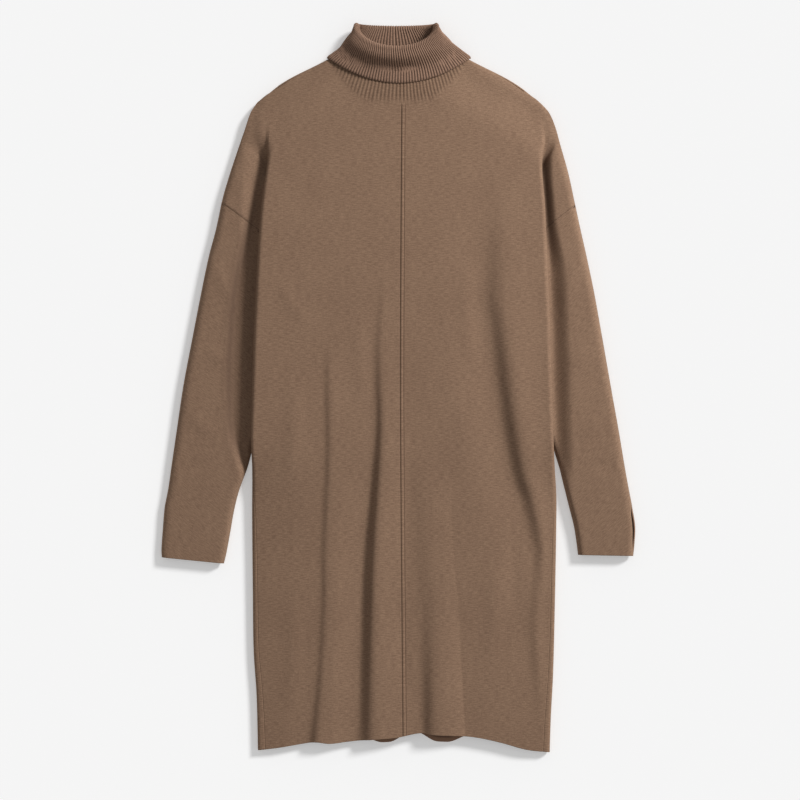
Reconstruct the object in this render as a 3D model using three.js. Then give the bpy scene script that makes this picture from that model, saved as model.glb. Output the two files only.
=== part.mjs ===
// A knee-length knitted dress with a folded polo collar, laid flat on its back.
// Millimetres. +Z is up from the surface, +Y runs toward the neck, +X toward the wearer's left.
// The sleeves are brought down along the sides and the edges of the body lie over them.
import * as THREE from "three";

// The middle of the garment's outline, measured in the frame that its lines are drawn in.
const PLAN_MIDDLE = { x: 2, y: 1.06 };

const WALL = 2.2;
const SEAM_GAP = 0.3;
const HALF_TURN = Math.PI;
// Shares and lengths closer than this count as the same.
const SAME = 1e-6;

// Yarn colours of the plain knit and of the ribbing.
const KNIT_COLOR = 0x7c6453;
const RIB_COLOR = 0x765e4d;
const KNIT_ROUGHNESS = 0.95;

// Shoulders and armholes.
const NECK_MIDDLE = 2;
const NECK_HALF = 91;
const NECK_SIDE_Y = 481;
const SHOULDER_BOW = 6.5;
const SHOULDER_BOW_OUTWARD = 1.5;
const FRONT_NECK_DROP = 31.5;
const BACK_NECK_DROP = 1;
const UNDERARM_Y = 200;
const SEAM_LEVEL = 6.2;
const NECK_SEAM_LEVEL = 10.8;
const NECK_SEAM_FADE = 45;
const SHOULDER_LEVEL = 12;
const SHOULDER_FADE = 75;
const FRONT_NECK_LEVEL = 18.4;
const BACK_NECK_LEVEL = 3.2;
const SHOULDER_ROUND = 15;
const CUFF_ROUND = 12;

// The fold that carries the body's edge over the sleeve, and the back's step up onto the sleeve.
const FOLD_HOLLOW = 1.2;
const STEP_RUN = 15;
const STEP_INSET = 18;
const LEAST_ROLL = 2.9;
// Toward the shoulder the fold opens out flat and its columns spread.
const ROLL_SPREAD = 10;
const HOLLOW_SPREAD = 5;
// Steps of the half turn; the front's seam lies at the middle one.
const ROLL_STEPS = [1, 2, 3, 4, 5, 6];
const FRONT_ROLL = 3;

// Ribbing.
const YOKE_RIBS = 16;
const YOKE_RIB_HEIGHT = 0.5;
const YOKE_LEAN = 0.0068;
const COLLAR_RIBS = 112;
const COLLAR_RIB_HEIGHT = 0.45;

// Centre-front seam: a narrow welt that stands up on the wearer's left.
const WELT_WIDTH = 3.2;
const WELT_HEIGHT = 1.1;
const WELT_SHARES = [0.01, 0.02];

const CENTRE = [
  { y: 450, x: 6.5 },
  { y: 100, x: 4.4 },
  { y: -50, x: 4.4 },
  { y: -505, x: 8 },
];

// Heights of the outer face over the surface, down the body.
const LEVELS = [
  { y: 450, crown: 18.4, edge: 17, under: 11.4, arm: 15.5 },
  { y: 380, crown: 20, edge: 18, under: 11.4, arm: 15.5 },
  { y: 200, crown: 21, edge: 18, under: 11.4, arm: 15.5 },
  { y: 0, crown: 20.5, edge: 18, under: 11.4, arm: 15 },
  { y: -95, crown: 19.5, edge: 17.5, under: 11, arm: 14.5 },
  { y: -130, crown: 18.5, edge: 14, under: 3.5, arm: 14 },
  { y: -160, crown: 18, edge: 11.5, under: 0, arm: 13.5 },
  { y: -300, crown: 16.5, edge: 10.5, under: 0, arm: 12 },
  { y: -530, crown: 15, edge: 10, under: 0, arm: 11 },
];

// How far the body's edge is folded back over the arm: the turn in degrees and the length folded under.
// slant is how closely the rows there still run with the shoulder line.
const OVERLAP = [
  { y: 430, turn: 0, length: 4, slant: 1 },
  { y: 395, turn: 4, length: 4, slant: 0.6 },
  { y: 370, turn: 35, length: 5, slant: 0.2 },
  { y: 345, turn: 85, length: 6, slant: 0 },
  { y: 315, turn: 150, length: 9, slant: 0 },
  { y: 290, turn: 180, length: 15, slant: 0 },
  { y: 250, turn: 180, length: 26, slant: 0 },
  { y: 200, turn: 180, length: 34, slant: 0 },
];

// Where the side seam lies, measured from the top of the rolled edge toward the middle.
const SIDE_SEAM = [
  { y: 200, onTop: 0 },
  { y: -120, onTop: 0 },
  { y: -180, onTop: 0.55 },
  { y: -380, onTop: 0.75 },
  { y: -530, onTop: 1 },
];

// Each side's outline, as distances from the middle. The wearer's right is at -X.
const SIDES = {
  right: {
    sign: -1,
    shoulder: { x: 202.5, y: 413 },
    armhole: { x: 254, y: 268 },
    seamReach: 6,
    cap: [
      { y: 413, x: 202.5 },
      { y: 398, x: 212 },
      { y: 372, x: 221 },
      { y: 346, x: 230 },
      { y: 313, x: 241 },
      { y: 287, x: 249 },
      { y: 268, x: 254 },
    ],
    edge: [
      { y: 430, x: 175 },
      { y: 376, x: 179.5 },
      { y: 322, x: 187.5 },
      { y: 273, x: 194.5 },
      { y: 239, x: 198 },
      { y: 186, x: 201.5 },
      { y: 72, x: 207 },
      { y: -45, x: 210.5 },
      { y: -77, x: 211 },
      { y: -115, x: 209.3 },
      { y: -183, x: 209.5 },
      { y: -300, x: 208.5 },
      { y: -380, x: 207.4 },
      { y: -448, x: 203 },
      { y: -525, x: 201 },
    ],
    sleeve: [
      { outX: 254, outY: 268, inX: 160, inY: 200 },
      { outX: 262, outY: 230, inX: 160, inY: 168 },
      { outX: 273, outY: 188, inX: 161, inY: 130 },
      { outX: 285, outY: 130, inX: 166, inY: 85 },
      { outX: 297, outY: 68, inX: 174, inY: 35 },
      { outX: 309, outY: 5, inX: 187, inY: -15 },
      { outX: 319, outY: -62, inX: 203, inY: -62 },
      { outX: 326, outY: -110, inX: 215.5, inY: -112 },
      { outX: 331, outY: -145, inX: 228, inY: -147 },
      { outX: 336.5, outY: -174, inX: 235.5, inY: -176 },
      { outX: 339, outY: -204, inX: 241, inY: -207 },
      { outX: 341, outY: -232, inX: 246.5, inY: -237 },
      { outX: 340.5, outY: -245, inX: 250.5, inY: -254 },
    ],
    slitOpen: 0.8,
  },
  left: {
    sign: 1,
    shoulder: { x: 209, y: 411 },
    armhole: { x: 258, y: 265 },
    seamReach: 5,
    cap: [
      { y: 411, x: 209 },
      { y: 398, x: 220 },
      { y: 376, x: 229.5 },
      { y: 350, x: 237 },
      { y: 311, x: 248 },
      { y: 265, x: 258 },
    ],
    edge: [
      { y: 430, x: 186 },
      { y: 402, x: 198 },
      { y: 355, x: 210 },
      { y: 300, x: 213 },
      { y: 267, x: 216 },
      { y: 186, x: 218 },
      { y: 104, x: 220.5 },
      { y: 0, x: 223.7 },
      { y: -97, x: 227 },
      { y: -157, x: 230.5 },
      { y: -203, x: 230.3 },
      { y: -309, x: 228.5 },
      { y: -415, x: 225.8 },
      { y: -474, x: 222.4 },
      { y: -525, x: 220.7 },
    ],
    sleeve: [
      { outX: 258, outY: 265, inX: 178, inY: 200 },
      { outX: 266, outY: 228, inX: 176, inY: 168 },
      { outX: 275, outY: 188, inX: 176, inY: 130 },
      { outX: 286, outY: 135, inX: 180, inY: 88 },
      { outX: 298, outY: 68, inX: 188, inY: 35 },
      { outX: 311, outY: -6, inX: 201, inY: -15 },
      { outX: 321, outY: -62, inX: 219, inY: -65 },
      { outX: 329, outY: -110, inX: 234, inY: -112 },
      { outX: 334, outY: -138, inX: 241.5, inY: -142 },
      { outX: 340.5, outY: -172, inX: 249, inY: -172 },
      { outX: 345, outY: -200, inX: 256, inY: -200 },
      { outX: 344, outY: -225, inX: 260, inY: -225 },
      { outX: 342, outY: -243, inX: 262, inY: -241.5 },
    ],
    slitOpen: 3.6,
  },
};

// The long soft folds of the front. Each crest starts at a height, drifts sideways and ends lower down.
// They grow to the hem, but for those that swell in the middle of their run.
const FOLD_GROWTH = 0.9;
const FOLD_PAST_END = 1.1;
const FOLDS = [
  { name: "right", start: 60, end: -520, x: [-93, -92, -102], width: [10, 18], rise: 5.5, swell: 0 },
  { name: "middle", start: 200, end: -520, x: [-15, -18, -20], width: [10, 19], rise: 8, swell: 0 },
  { name: "left", start: -60, end: -520, x: [42, 54, 68], width: [12, 20], rise: 6, swell: 0 },
  { name: "diagonal", start: 310, end: -250, x: [128, 164, 217], width: [14, 18], rise: 3.4, swell: 1 },
  { name: "corner", start: -280, end: -520, x: [206, 208, 208], width: [12, 14], rise: 2.6, swell: 0 },
];

const FRONT_HEM = [
  { x: -201, y: -524 },
  { x: -170, y: -520 },
  { x: -136, y: -514.3 },
  { x: -117, y: -511.8 },
  { x: -97, y: -514 },
  { x: -75, y: -511.8 },
  { x: -28, y: -507 },
  { x: 0, y: -505 },
  { x: 33, y: -499 },
  { x: 54, y: -501 },
  { x: 96, y: -503 },
  { x: 120, y: -506 },
  { x: 151, y: -513 },
  { x: 187, y: -523 },
  { x: 221, y: -527 },
];
// The back hem hides behind the front hem but for two places where it hangs lower.
const BACK_HEM_HIDDEN = 3;
const BACK_HEM_MEETS = 190;
const HEM_FADE = 25;
const DIP_ROUND = 1.6;
const BACK_HEM_DIPS = [
  { x: -14, half: 30, depth: 11 },
  { x: 68, half: 42, depth: 14 },
];

// Rings of the collar, from the neck seam up the stand, over the rim and down to the lower edge.
// They are: neck seam, stand, rim inside, rim outside, upper fall, lower fall and lower edge.
// Each has its half-width and the places and heights of its front, side and back. bow rounds its ends.
const COLLAR = [
  { ring: 0, x: 2, half: 88.5, side: 481, front: 450, back: 481.5, top: 16.2, bottom: 5.4, bow: 1 },
  { ring: 1, x: 0.5, half: 72, side: 503, front: 468, back: 501, top: 20.5, bottom: 5.4, bow: 1 },
  { ring: 2, x: -1, half: 54, side: 525.5, front: 486.5, back: 519.5, top: 24.5, bottom: 5.4, bow: 1 },
  { ring: 3, x: -1, half: 61, side: 525.5, front: 486.5, back: 519.5, top: 33.5, bottom: 0, bow: 1 },
  { ring: 4, x: 0.5, half: 70, side: 507, front: 474, back: 505, top: 31.5, bottom: 0, bow: 1.3 },
  { ring: 5, x: 3, half: 87, side: 491, front: 458, back: 487, top: 25, bottom: 0, bow: 1.7 },
  { ring: 6, x: 2.8, half: 104.6, side: 477.5, front: 439.4, back: 470, top: 22.4, bottom: 0, bow: 2 },
];
const RIM_INSIDE = 2;
const RIM_REACH = 3.8;
const COLLAR_SQUARENESS = 0.55;

// Rows of the grid. Those of the yoke give their distance from the neck seam, from the shoulder at the fold
// and from the shoulder's end, and on the back their share of the way down to the first armhole row.
const YOKE_ROWS = [
  { yoke: 0, fold: 0, out: 0, back: 0 },
  { yoke: 13, fold: 12, out: 7, back: 0.13 },
  { yoke: 27, fold: 24, out: 14, back: 0.32 },
  { yoke: 42, fold: 35, out: 21, back: 0.62 },
];
const YOKE_FADE = 10;
const YOKE_END = [
  { x: 0, length: 41 },
  { x: 50, length: 42 },
  { x: 78, length: 26 },
  { x: 105, length: 12 },
];
const EDGE_TOP = 430;
const FIRST_CAP = 30;
const ARMHOLE_ROWS = [380, 352, 325, 300, 268, 234, UNDERARM_Y];
const BODY_ROWS = [160, 105, 50, -5, -55, -95, -130, -165, -215, -275, -335, -390, -435];
const HEM_ZONE = -435;
const HEM_LEVEL = -515;
const HEM_ROWS = [0.35, 0.7, 1];

// Columns of the grid.
const NECK_COLUMNS = 8;
const CHEST_COLUMNS = 8;
const NECK_SHARE = 0.52;
const CAP_COLUMNS = [0, 0.16, 0.34, 0.52, 0.7, 0.84, 0.94, 1];
const UNDER_COLUMNS = [0, 0.4, 0.8, 0.92, 1];
const CORE_COLUMNS = [0, 0.26, NECK_SHARE, 0.76, 1];
const BACK_NECK_COLUMNS = [0, 0.3, 0.55, 0.75, 0.9, 1];
const STEP_COLUMNS = [0, 0.3, 0.7, 1];
const EDGE_COLUMNS = [1, 0.75, 0.5, 0.25, 0];
const COLLAR_ROWS = [0, 1, 2, 2.5, 3, 3.75, 4.5, 5.25, 6];
const COLLAR_MEAN_RING = 4.5;
const COLLAR_MEAN_STEPS = 2880;

// Small allowances of the fold, the arm and the back's neck.
const SEAM_APPROACH = 8;
const ARM_RISE = 20;
const EDGE_COVER = 1;
const ROOT_BLEND = 60;
const STEP_CLEAR = 6;
const INNER_ROUND = 5;
const TUCK_END = -120;
const TUCK_FADE = 50;
const SLIT_RING = 9;
const FALL_CLEAR = 0.8;
const BACK_NECK_SLOPE = 16;
const FALL_END_FADE = 8;
const RIB_CLEAR = 1.2;

const mix = (a, b, t) => a + (b - a) * t;
const clamp01 = (t) => Math.min(1, Math.max(0, t));

function smooth(t) {
  const k = clamp01(t);
  return k * k * (3 - 2 * k);
}

// Quarter of a circle: 0 at t = 0, upright there, and 1 from t = 1 on.
function rounded(t) {
  const k = 1 - clamp01(t);
  return Math.sqrt(1 - k * k);
}

// Value of a table's column at a place, on a smooth curve through its rows.
function along(table, column, at, by = "y") {
  const falling = table[0][by] > table[1][by];
  const rows = falling ? [...table].reverse() : table;
  const last = rows.length - 1;
  if (at <= rows[0][by]) return rows[0][column];
  if (at >= rows[last][by]) return rows[last][column];
  const i = rows.findIndex((row) => row[by] >= at) - 1;
  const slope = (k) => {
    const a = rows[Math.max(0, k - 1)];
    const b = rows[Math.min(last, k + 1)];
    return (b[column] - a[column]) / (b[by] - a[by]);
  };
  const gap = rows[i + 1][by] - rows[i][by];
  const t = (at - rows[i][by]) / gap;
  const low = rows[i][column];
  const high = rows[i + 1][column];
  return (
    low * (1 + 2 * t) * (1 - t) ** 2 +
    high * t * t * (3 - 2 * t) +
    slope(i) * gap * t * (1 - t) ** 2 +
    slope(i + 1) * gap * t * t * (t - 1)
  );
}

// The neck curve and the shoulder line: the top boundary of front and back at a distance x.
function topBoundary(side, x, neckDrop) {
  const fromMiddle = (x - NECK_MIDDLE) / NECK_HALF;
  if (Math.abs(fromMiddle) < 1) return NECK_SIDE_Y - neckDrop * Math.sqrt(1 - fromMiddle ** 2);
  return shoulderY(side, x);
}

const neckSideOf = (side) => Math.abs(NECK_MIDDLE + side.sign * NECK_HALF);

function shoulderSlope(side) {
  return (NECK_SIDE_Y - side.shoulder.y) / (side.shoulder.x - neckSideOf(side));
}

// The shoulder bows up from its straight line, a little more toward the arm.
function shoulderBow(side, x) {
  const s = clamp01((Math.abs(x) - neckSideOf(side)) / (side.shoulder.x - neckSideOf(side)));
  return SHOULDER_BOW * Math.sin(HALF_TURN * s ** SHOULDER_BOW_OUTWARD);
}

function shoulderY(side, x) {
  return NECK_SIDE_Y - shoulderSlope(side) * (Math.abs(x) - neckSideOf(side)) + shoulderBow(side, x);
}

function foldHeight(x, y) {
  let sum = 0;
  for (const fold of FOLDS) {
    const t = (fold.start - y) / (fold.start - fold.end);
    if (t <= 0 || t > FOLD_PAST_END) continue;
    const crest = mix(mix(fold.x[0], fold.x[1], t), mix(fold.x[1], fold.x[2], t), t);
    const width = mix(fold.width[0], fold.width[1], t);
    const strength = fold.swell ? Math.sin(HALF_TURN * clamp01(t)) : smooth(t * FOLD_GROWTH);
    sum += fold.rise * strength * Math.exp(-0.5 * ((x - crest) / width) ** 2);
  }
  return sum;
}

// Height of the front's outer face.
function frontLevel(side, x, y) {
  const centre = along(CENTRE, "x", y);
  const edge = side.sign * along(side.edge, "x", y);
  const across = clamp01((x - centre) / (edge - centre));
  const low = along(LEVELS, "edge", y);
  const level = mix(along(LEVELS, "crown", y), low, across ** 3) + foldHeight(x, y);
  return roundedToTop(side, x, y, level);
}

// Lowers the front's face over the shoulder, and to the shoulder seam or the neck seam at the top boundary.
function roundedToTop(side, x, y, level) {
  const steep = 1 / Math.hypot(1, shoulderSlope(side));
  const lowered = mix(SHOULDER_LEVEL, level, smooth(((shoulderY(side, x) - y) * steep) / SHOULDER_FADE));
  const near = rounded(((topBoundary(side, x, FRONT_NECK_DROP) - y) * steep) / SHOULDER_ROUND);
  return mix(topLevel(x, FRONT_NECK_LEVEL), lowered, near);
}

// Height of the top boundary: the shoulder seam, or the flattened oval of the neck seam.
function topLevel(x, neckLevel) {
  const fromMiddle = Math.abs(x - NECK_MIDDLE) / NECK_HALF;
  if (fromMiddle >= 1) {
    return mix(NECK_SEAM_LEVEL, SEAM_LEVEL, smooth(((fromMiddle - 1) * NECK_HALF) / NECK_SEAM_FADE));
  }
  return mix(NECK_SEAM_LEVEL, neckLevel, (1 - fromMiddle ** 2) ** (COLLAR_SQUARENESS / 2));
}

// The back is lifted by the fall of the collar, which lies under its neck edge.
function liftedByFall(x, y) {
  const edge = COLLAR.at(-1);
  const across = clamp01(Math.abs(x - edge.x) / edge.half);
  const underside = (edge.top / 2) * (1 - (1 - across ** 2) ** (COLLAR_SQUARENESS / 2));
  const lift = Math.min(underside + WALL + FALL_CLEAR, NECK_SEAM_LEVEL);
  const near = 1 - smooth((edge.back - FALL_CLEAR - y) / BACK_NECK_SLOPE);
  return lift * near * smooth((1 - across) * FALL_END_FADE);
}

// Height of the back's outer face, which lies on the surface but for its top boundary.
function backLevel(side, x, y) {
  const steep = 1 / Math.hypot(1, shoulderSlope(side));
  const near = rounded(((topBoundary(side, x, BACK_NECK_DROP) - y) * steep) / SHOULDER_ROUND);
  return Math.max(topLevel(x, BACK_NECK_LEVEL) * (1 - near), liftedByFall(x, y));
}

// The rolled edge of the body at a height y: where the roll starts, its radius, and how far it turns.
function edgeAt(side, y) {
  const edge = along(side.edge, "x", y);
  const under = Math.max(0, along(LEVELS, "under", y));
  const turn = y >= UNDERARM_Y ? (along(OVERLAP, "turn", y) / 180) * HALF_TURN : HALF_TURN;
  const plainRadius = (along(LEVELS, "edge", y) - under) / 2;
  const open = (1 - turn / HALF_TURN) ** 2;
  const start = edge - plainRadius * Math.sin(Math.min(turn, HALF_TURN / 2)) - (ROLL_SPREAD / 2) * open;
  const top = frontLevel(side, side.sign * start, y);
  const radius = Math.max(LEAST_ROLL, (top - under) / 2);
  const slant = along(OVERLAP, "slant", y) * shoulderSlope(side);
  return { under, turn, open, start, top, radius, slant, length: along(OVERLAP, "length", y) };
}

// A point of the fold over the arm: along the roll, then the folded length, then the hollow.
// Where the fold turns little, its columns are spread instead.
function foldPoint(side, y, stage, t) {
  const { start, top, radius, turn, open, length, slant } = edgeAt(side, y);
  const rolled = stage === "roll" ? turn * t : turn;
  let x = start + radius * Math.sin(rolled) + ROLL_SPREAD * open * (rolled === turn ? 1 : t);
  let z = top - radius * (1 - Math.cos(rolled));
  if (stage !== "roll") {
    const run = stage === "run" ? length * t : length;
    x += run * Math.cos(turn);
    z -= run * Math.sin(turn);
  }
  if (stage === "hollow") {
    const left = turn * (1 - t);
    x += FOLD_HOLLOW * (Math.sin(turn) - Math.sin(left)) + HOLLOW_SPREAD * open * t;
    z -= FOLD_HOLLOW * (Math.cos(left) - Math.cos(turn));
  }
  return new THREE.Vector3(side.sign * x, y - slant * (x - start), z);
}

// A point of the body's section below the underarm, at a distance past the start of the roll.
function edgeSection(side, y, past) {
  const { start, top, radius, under } = edgeAt(side, y);
  if (past <= 0) {
    const x = side.sign * (start + past);
    return new THREE.Vector3(x, y, frontLevel(side, x, y));
  }
  const turned = Math.min(past / radius, HALF_TURN);
  const x = start + radius * Math.sin(turned);
  return new THREE.Vector3(side.sign * x, y, mix(top, under, (1 - Math.cos(turned)) / 2));
}

// Where the side seam lies in that section.
function seamPast(side, y) {
  const atEdge = (edgeAt(side, y).radius * HALF_TURN) / 2;
  return mix(atEdge, -side.seamReach, along(SIDE_SEAM, "onTop", y));
}

// Height of the arm's outer face: low under the body's edge, then up to its crown, then round to the outline.
function armLevel(p, toOutline, low, from) {
  const level = mix(low, along(LEVELS, "arm", p.y), smooth((Math.abs(p.x) - from) / ARM_RISE));
  return mix(SEAM_LEVEL, level, rounded(toOutline / CUFF_ROUND));
}

function outlinePoint(x, y) {
  const p = new THREE.Vector3(x, y, SEAM_LEVEL);
  p.outline = true;
  return p;
}

// A point of the cap, from the fold's end out to the outline.
function capPoint(side, row, share) {
  const root = foldPoint(side, row.foldY, "hollow", 1);
  if (share === 0) return root;
  const out = outlinePoint(side.sign * along(side.cap, "x", row.outY), row.outY);
  if (share === 1) return out;
  const p = new THREE.Vector3().lerpVectors(root, out, share);
  const from = Math.max(along(side.edge, "x", p.y) - EDGE_COVER, Math.abs(root.x));
  p.z = armLevel(p, Math.hypot(out.x - p.x, out.y - p.y), root.z, from);
  p.z = roundedToTop(side, p.x, p.y, p.z);
  return p;
}

// Rows above the underarm: the place of each down the middle, at the fold and on the outline.
function upperRows(side) {
  const rows = YOKE_ROWS.map(({ yoke, fold, out, back }) => {
    const foldX = along(side.edge, "x", EDGE_TOP - fold);
    const foldTop = topBoundary(side, side.sign * foldX, FRONT_NECK_DROP);
    return { yoke, back, foldY: foldTop - fold, outY: side.shoulder.y - out };
  });
  const spread = (side.shoulder.y - FIRST_CAP - side.armhole.y) / (ARMHOLE_ROWS[0] - UNDERARM_Y);
  for (const y of ARMHOLE_ROWS) {
    rows.push({ y, foldY: y, outY: side.armhole.y + (y - UNDERARM_Y) * spread });
  }
  return rows;
}

const hemAt = (x) => along(FRONT_HEM, "y", x, "x");

function backHemAt(x) {
  let y = hemAt(x) + BACK_HEM_HIDDEN * smooth((BACK_HEM_MEETS - Math.abs(x)) / HEM_FADE);
  for (const dip of BACK_HEM_DIPS) {
    y -= dip.depth * smooth(DIP_ROUND * (1 - Math.abs(x - dip.x) / dip.half));
  }
  return y;
}

// Lower rows of front or back: straight rows down the body, then rows that close in on the hem.
function lowerRows(rowAt, hem) {
  const rows = BODY_ROWS.map((y) => rowAt(y));
  for (const part of HEM_ROWS) {
    const row = rowAt(mix(HEM_ZONE, HEM_LEVEL, part));
    for (const point of row) point.p.y = mix(HEM_ZONE, hem(point.p.x), part);
    rows.push(row);
  }
  return rows;
}

// Share of the way from the centre seam to the roll, for the columns of the front.
function frontShares() {
  const shares = [];
  for (let k = 0; k < NECK_COLUMNS; k += 1) shares.push((NECK_SHARE * k) / NECK_COLUMNS);
  for (let k = 0; k <= CHEST_COLUMNS; k += 1) shares.push(mix(NECK_SHARE, 1, k / CHEST_COLUMNS));
  return shares;
}

// Ribs of the yoke run out where the plain knit begins: straight across the middle, higher at the sides.
function yokeFade(x, length) {
  return smooth((along(YOKE_END, "length", Math.abs(x), "x") - length) / YOKE_FADE);
}

// Front: from the centre seam out to the side seam, on every row.
function frontRows(side) {
  const frontPoint = (x, y) => new THREE.Vector3(x, y, frontLevel(side, x, y));
  const plainLine = (y, endX) => {
    const centre = along(CENTRE, "x", y);
    const line = frontShares().map((t) => ({ p: frontPoint(mix(centre, endX, t), y), t }));
    if (side.sign > 0) {
      line[0].p.raise = WELT_HEIGHT;
      const brink = frontPoint(centre + WELT_WIDTH, y);
      brink.raise = WELT_HEIGHT;
      const foot = frontPoint(centre + WELT_WIDTH + WELT_HEIGHT, y);
      line.splice(1, 0, { p: brink, t: WELT_SHARES[0] }, { p: foot, t: WELT_SHARES[1] });
    }
    return line;
  };
  // Under the collar the columns fan out from the neck seam, two to a rib.
  const yokeLine = (row, fold) => {
    const fine = YOKE_RIBS * 2;
    const centre = along(CENTRE, "x", NECK_SIDE_Y);
    const line = [];
    for (let k = 0; k <= fine; k += 1) {
      const neckX = mix(centre, NECK_MIDDLE + side.sign * NECK_HALF, k / fine);
      const lean = Math.atan(YOKE_LEAN * (neckX - centre));
      const x = neckX + row.yoke * Math.sin(lean);
      const y = topBoundary(side, neckX, FRONT_NECK_DROP) - row.yoke * Math.cos(lean);
      const p = frontPoint(x, y);
      if (k % 2) p.raise = YOKE_RIB_HEIGHT * yokeFade(x, row.yoke);
      line.push({ p, t: (NECK_SHARE * k) / fine });
    }
    const corner = line[fine].p;
    for (let k = 1; k <= CHEST_COLUMNS; k += 1) {
      const t = k / CHEST_COLUMNS;
      const x = mix(corner.x, fold.x, t);
      const bow = shoulderBow(side, x) - mix(shoulderBow(side, corner.x), shoulderBow(side, fold.x), t);
      line.push({ p: frontPoint(x, mix(corner.y, fold.y, t) + bow), t: mix(NECK_SHARE, 1, t) });
    }
    return line;
  };
  const upper = upperRows(side).map((row) => {
    const fold = foldPoint(side, row.foldY, "roll", 0);
    const line = row.yoke === undefined ? plainLine(row.y, fold.x) : yokeLine(row, fold);
    for (const k of ROLL_STEPS.slice(0, FRONT_ROLL)) {
      const t = k / ROLL_STEPS.length;
      line.push({ p: foldPoint(side, row.foldY, "roll", t), t: 1 + t });
    }
    if (row.yoke === 0) for (const { p, t } of line) p.outline = t > NECK_SHARE - SAME;
    return line;
  });
  const rowAt = (y) => {
    const past = seamPast(side, y);
    const from = Math.min(0, past - SEAM_APPROACH);
    const line = plainLine(y, edgeSection(side, y, from).x);
    for (const k of ROLL_STEPS.slice(0, FRONT_ROLL)) {
      const p = edgeSection(side, y, mix(from, past, k / FRONT_ROLL));
      line.push({ p, t: 1 + k / ROLL_STEPS.length });
    }
    return line;
  };
  return [...upper, ...lowerRows(rowAt, hemAt)];
}

// The part of the front that turns under the edge and comes out again as the arm's cap.
function capRows(side) {
  return upperRows(side).map((row) => {
    const turns = ROLL_STEPS.slice(FRONT_ROLL - 1).map((k) => k / ROLL_STEPS.length);
    const points = turns.map((t) => foldPoint(side, row.foldY, "roll", t));
    for (const t of [0.5, 1]) points.push(foldPoint(side, row.foldY, "run", t));
    for (const t of [1 / 3, 2 / 3]) points.push(foldPoint(side, row.foldY, "hollow", t));
    for (const share of CAP_COLUMNS) points.push(capPoint(side, row, share));
    if (row.yoke === 0) for (const p of points) p.outline = true;
    return asRow(points);
  });
}

// The inside line of the arm: the fold's end above the underarm, the sleeve's inner edge below it.
function armRoot(side, y) {
  if (y >= UNDERARM_Y) return Math.abs(foldPoint(side, y, "hollow", 1).x);
  const root = Math.abs(foldPoint(side, UNDERARM_Y, "hollow", 1).x);
  const inner = mix(root, along(side.sleeve, "inX", y, "inY"), smooth((UNDERARM_Y - y) / ROOT_BLEND));
  return Math.min(inner, edgeAt(side, y).start - STEP_CLEAR);
}

// Back: its flat middle, on the same rows as the front.
function backRows(side, frontTop) {
  const backPoint = (x, down, t) => ({ p: new THREE.Vector3(x, down(x), backLevel(side, x, down(x))), t });
  const flatLine = (outer, down) => {
    return CORE_COLUMNS.map((t) => backPoint(mix(NECK_MIDDLE, outer, t), down, t));
  };
  const upper = upperRows(side).map((row) => {
    const outer = side.sign * (armRoot(side, row.foldY) - STEP_INSET);
    if (row.yoke === undefined) return flatLine(outer, () => row.y);
    const down = (x) => mix(topBoundary(side, x, BACK_NECK_DROP), ARMHOLE_ROWS[0], row.back);
    if (row.yoke > YOKE_ROWS[1].yoke) return flatLine(outer, down);
    // The two rows nearest the neck have more columns across it.
    const neckSide = NECK_MIDDLE + side.sign * NECK_HALF;
    const neck = BACK_NECK_COLUMNS.map((t) => {
      return backPoint(mix(NECK_MIDDLE, neckSide, t), down, NECK_SHARE * t);
    });
    if (row.yoke === 0) {
      const shoulderSeam = frontTop.filter(({ t }) => t > NECK_SHARE - SAME && t <= 1);
      return [...neck.slice(0, -1), ...shoulderSeam];
    }
    const shoulder = [0.5, 1].map((t) => {
      return backPoint(mix(neckSide, outer, t), down, mix(NECK_SHARE, 1, t));
    });
    return [...neck, ...shoulder];
  });
  const rowAt = (y) => flatLine(side.sign * (armRoot(side, y) - STEP_INSET), () => y);
  return [...upper, ...lowerRows(rowAt, backHemAt)];
}

// The back of the shoulder and of the cap, flat on the surface and turned up to the seam at the outline.
function backCapRows(side, frontTop, capTop, core) {
  return upperRows(side).map((row, k) => {
    if (k === 0) {
      const seam = [...frontTop.filter(({ t }) => t > 1 - SAME), ...capTop.slice(1)];
      return asRow(seam.map(({ p }) => p));
    }
    const root = capPoint(side, row, 0);
    const out = capPoint(side, row, 1);
    return asRow([core[k].at(-1).p, ...UNDER_COLUMNS.map((share) => underPoint(side, root, out, share))]);
  });
}

// A point of the arm's underside.
function underPoint(side, root, out, share) {
  if (share === 1) return out;
  const p = new THREE.Vector3().lerpVectors(root, out, share);
  const toOutline = Math.hypot(out.x - p.x, out.y - p.y);
  const turnedUp = SEAM_LEVEL * (1 - rounded(toOutline / CUFF_ROUND));
  p.z = Math.max(turnedUp, p.y > ARMHOLE_ROWS[0] ? backLevel(side, p.x, p.y) : 0);
  return p;
}

// The back's step up onto the sleeve, its run out to the body's edge, and the roll up to the side seam.
function edgeRows(side) {
  const rowAt = (y) => {
    const { start, under, radius } = edgeAt(side, y);
    const inner = armRoot(side, y) - STEP_INSET;
    const past = seamPast(side, y);
    const points = STEP_COLUMNS.map((t) => {
      const x = mix(inner, inner + STEP_RUN, t);
      return new THREE.Vector3(side.sign * x, y, under * smooth(t));
    });
    points.push(new THREE.Vector3((side.sign * (inner + STEP_RUN + start)) / 2, y, under));
    for (const t of EDGE_COLUMNS) points.push(edgeSection(side, y, mix(past, radius * HALF_TURN, t)));
    return asRow(points);
  };
  return [rowAt(UNDERARM_Y), ...lowerRows(rowAt, backHemAt)];
}

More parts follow.
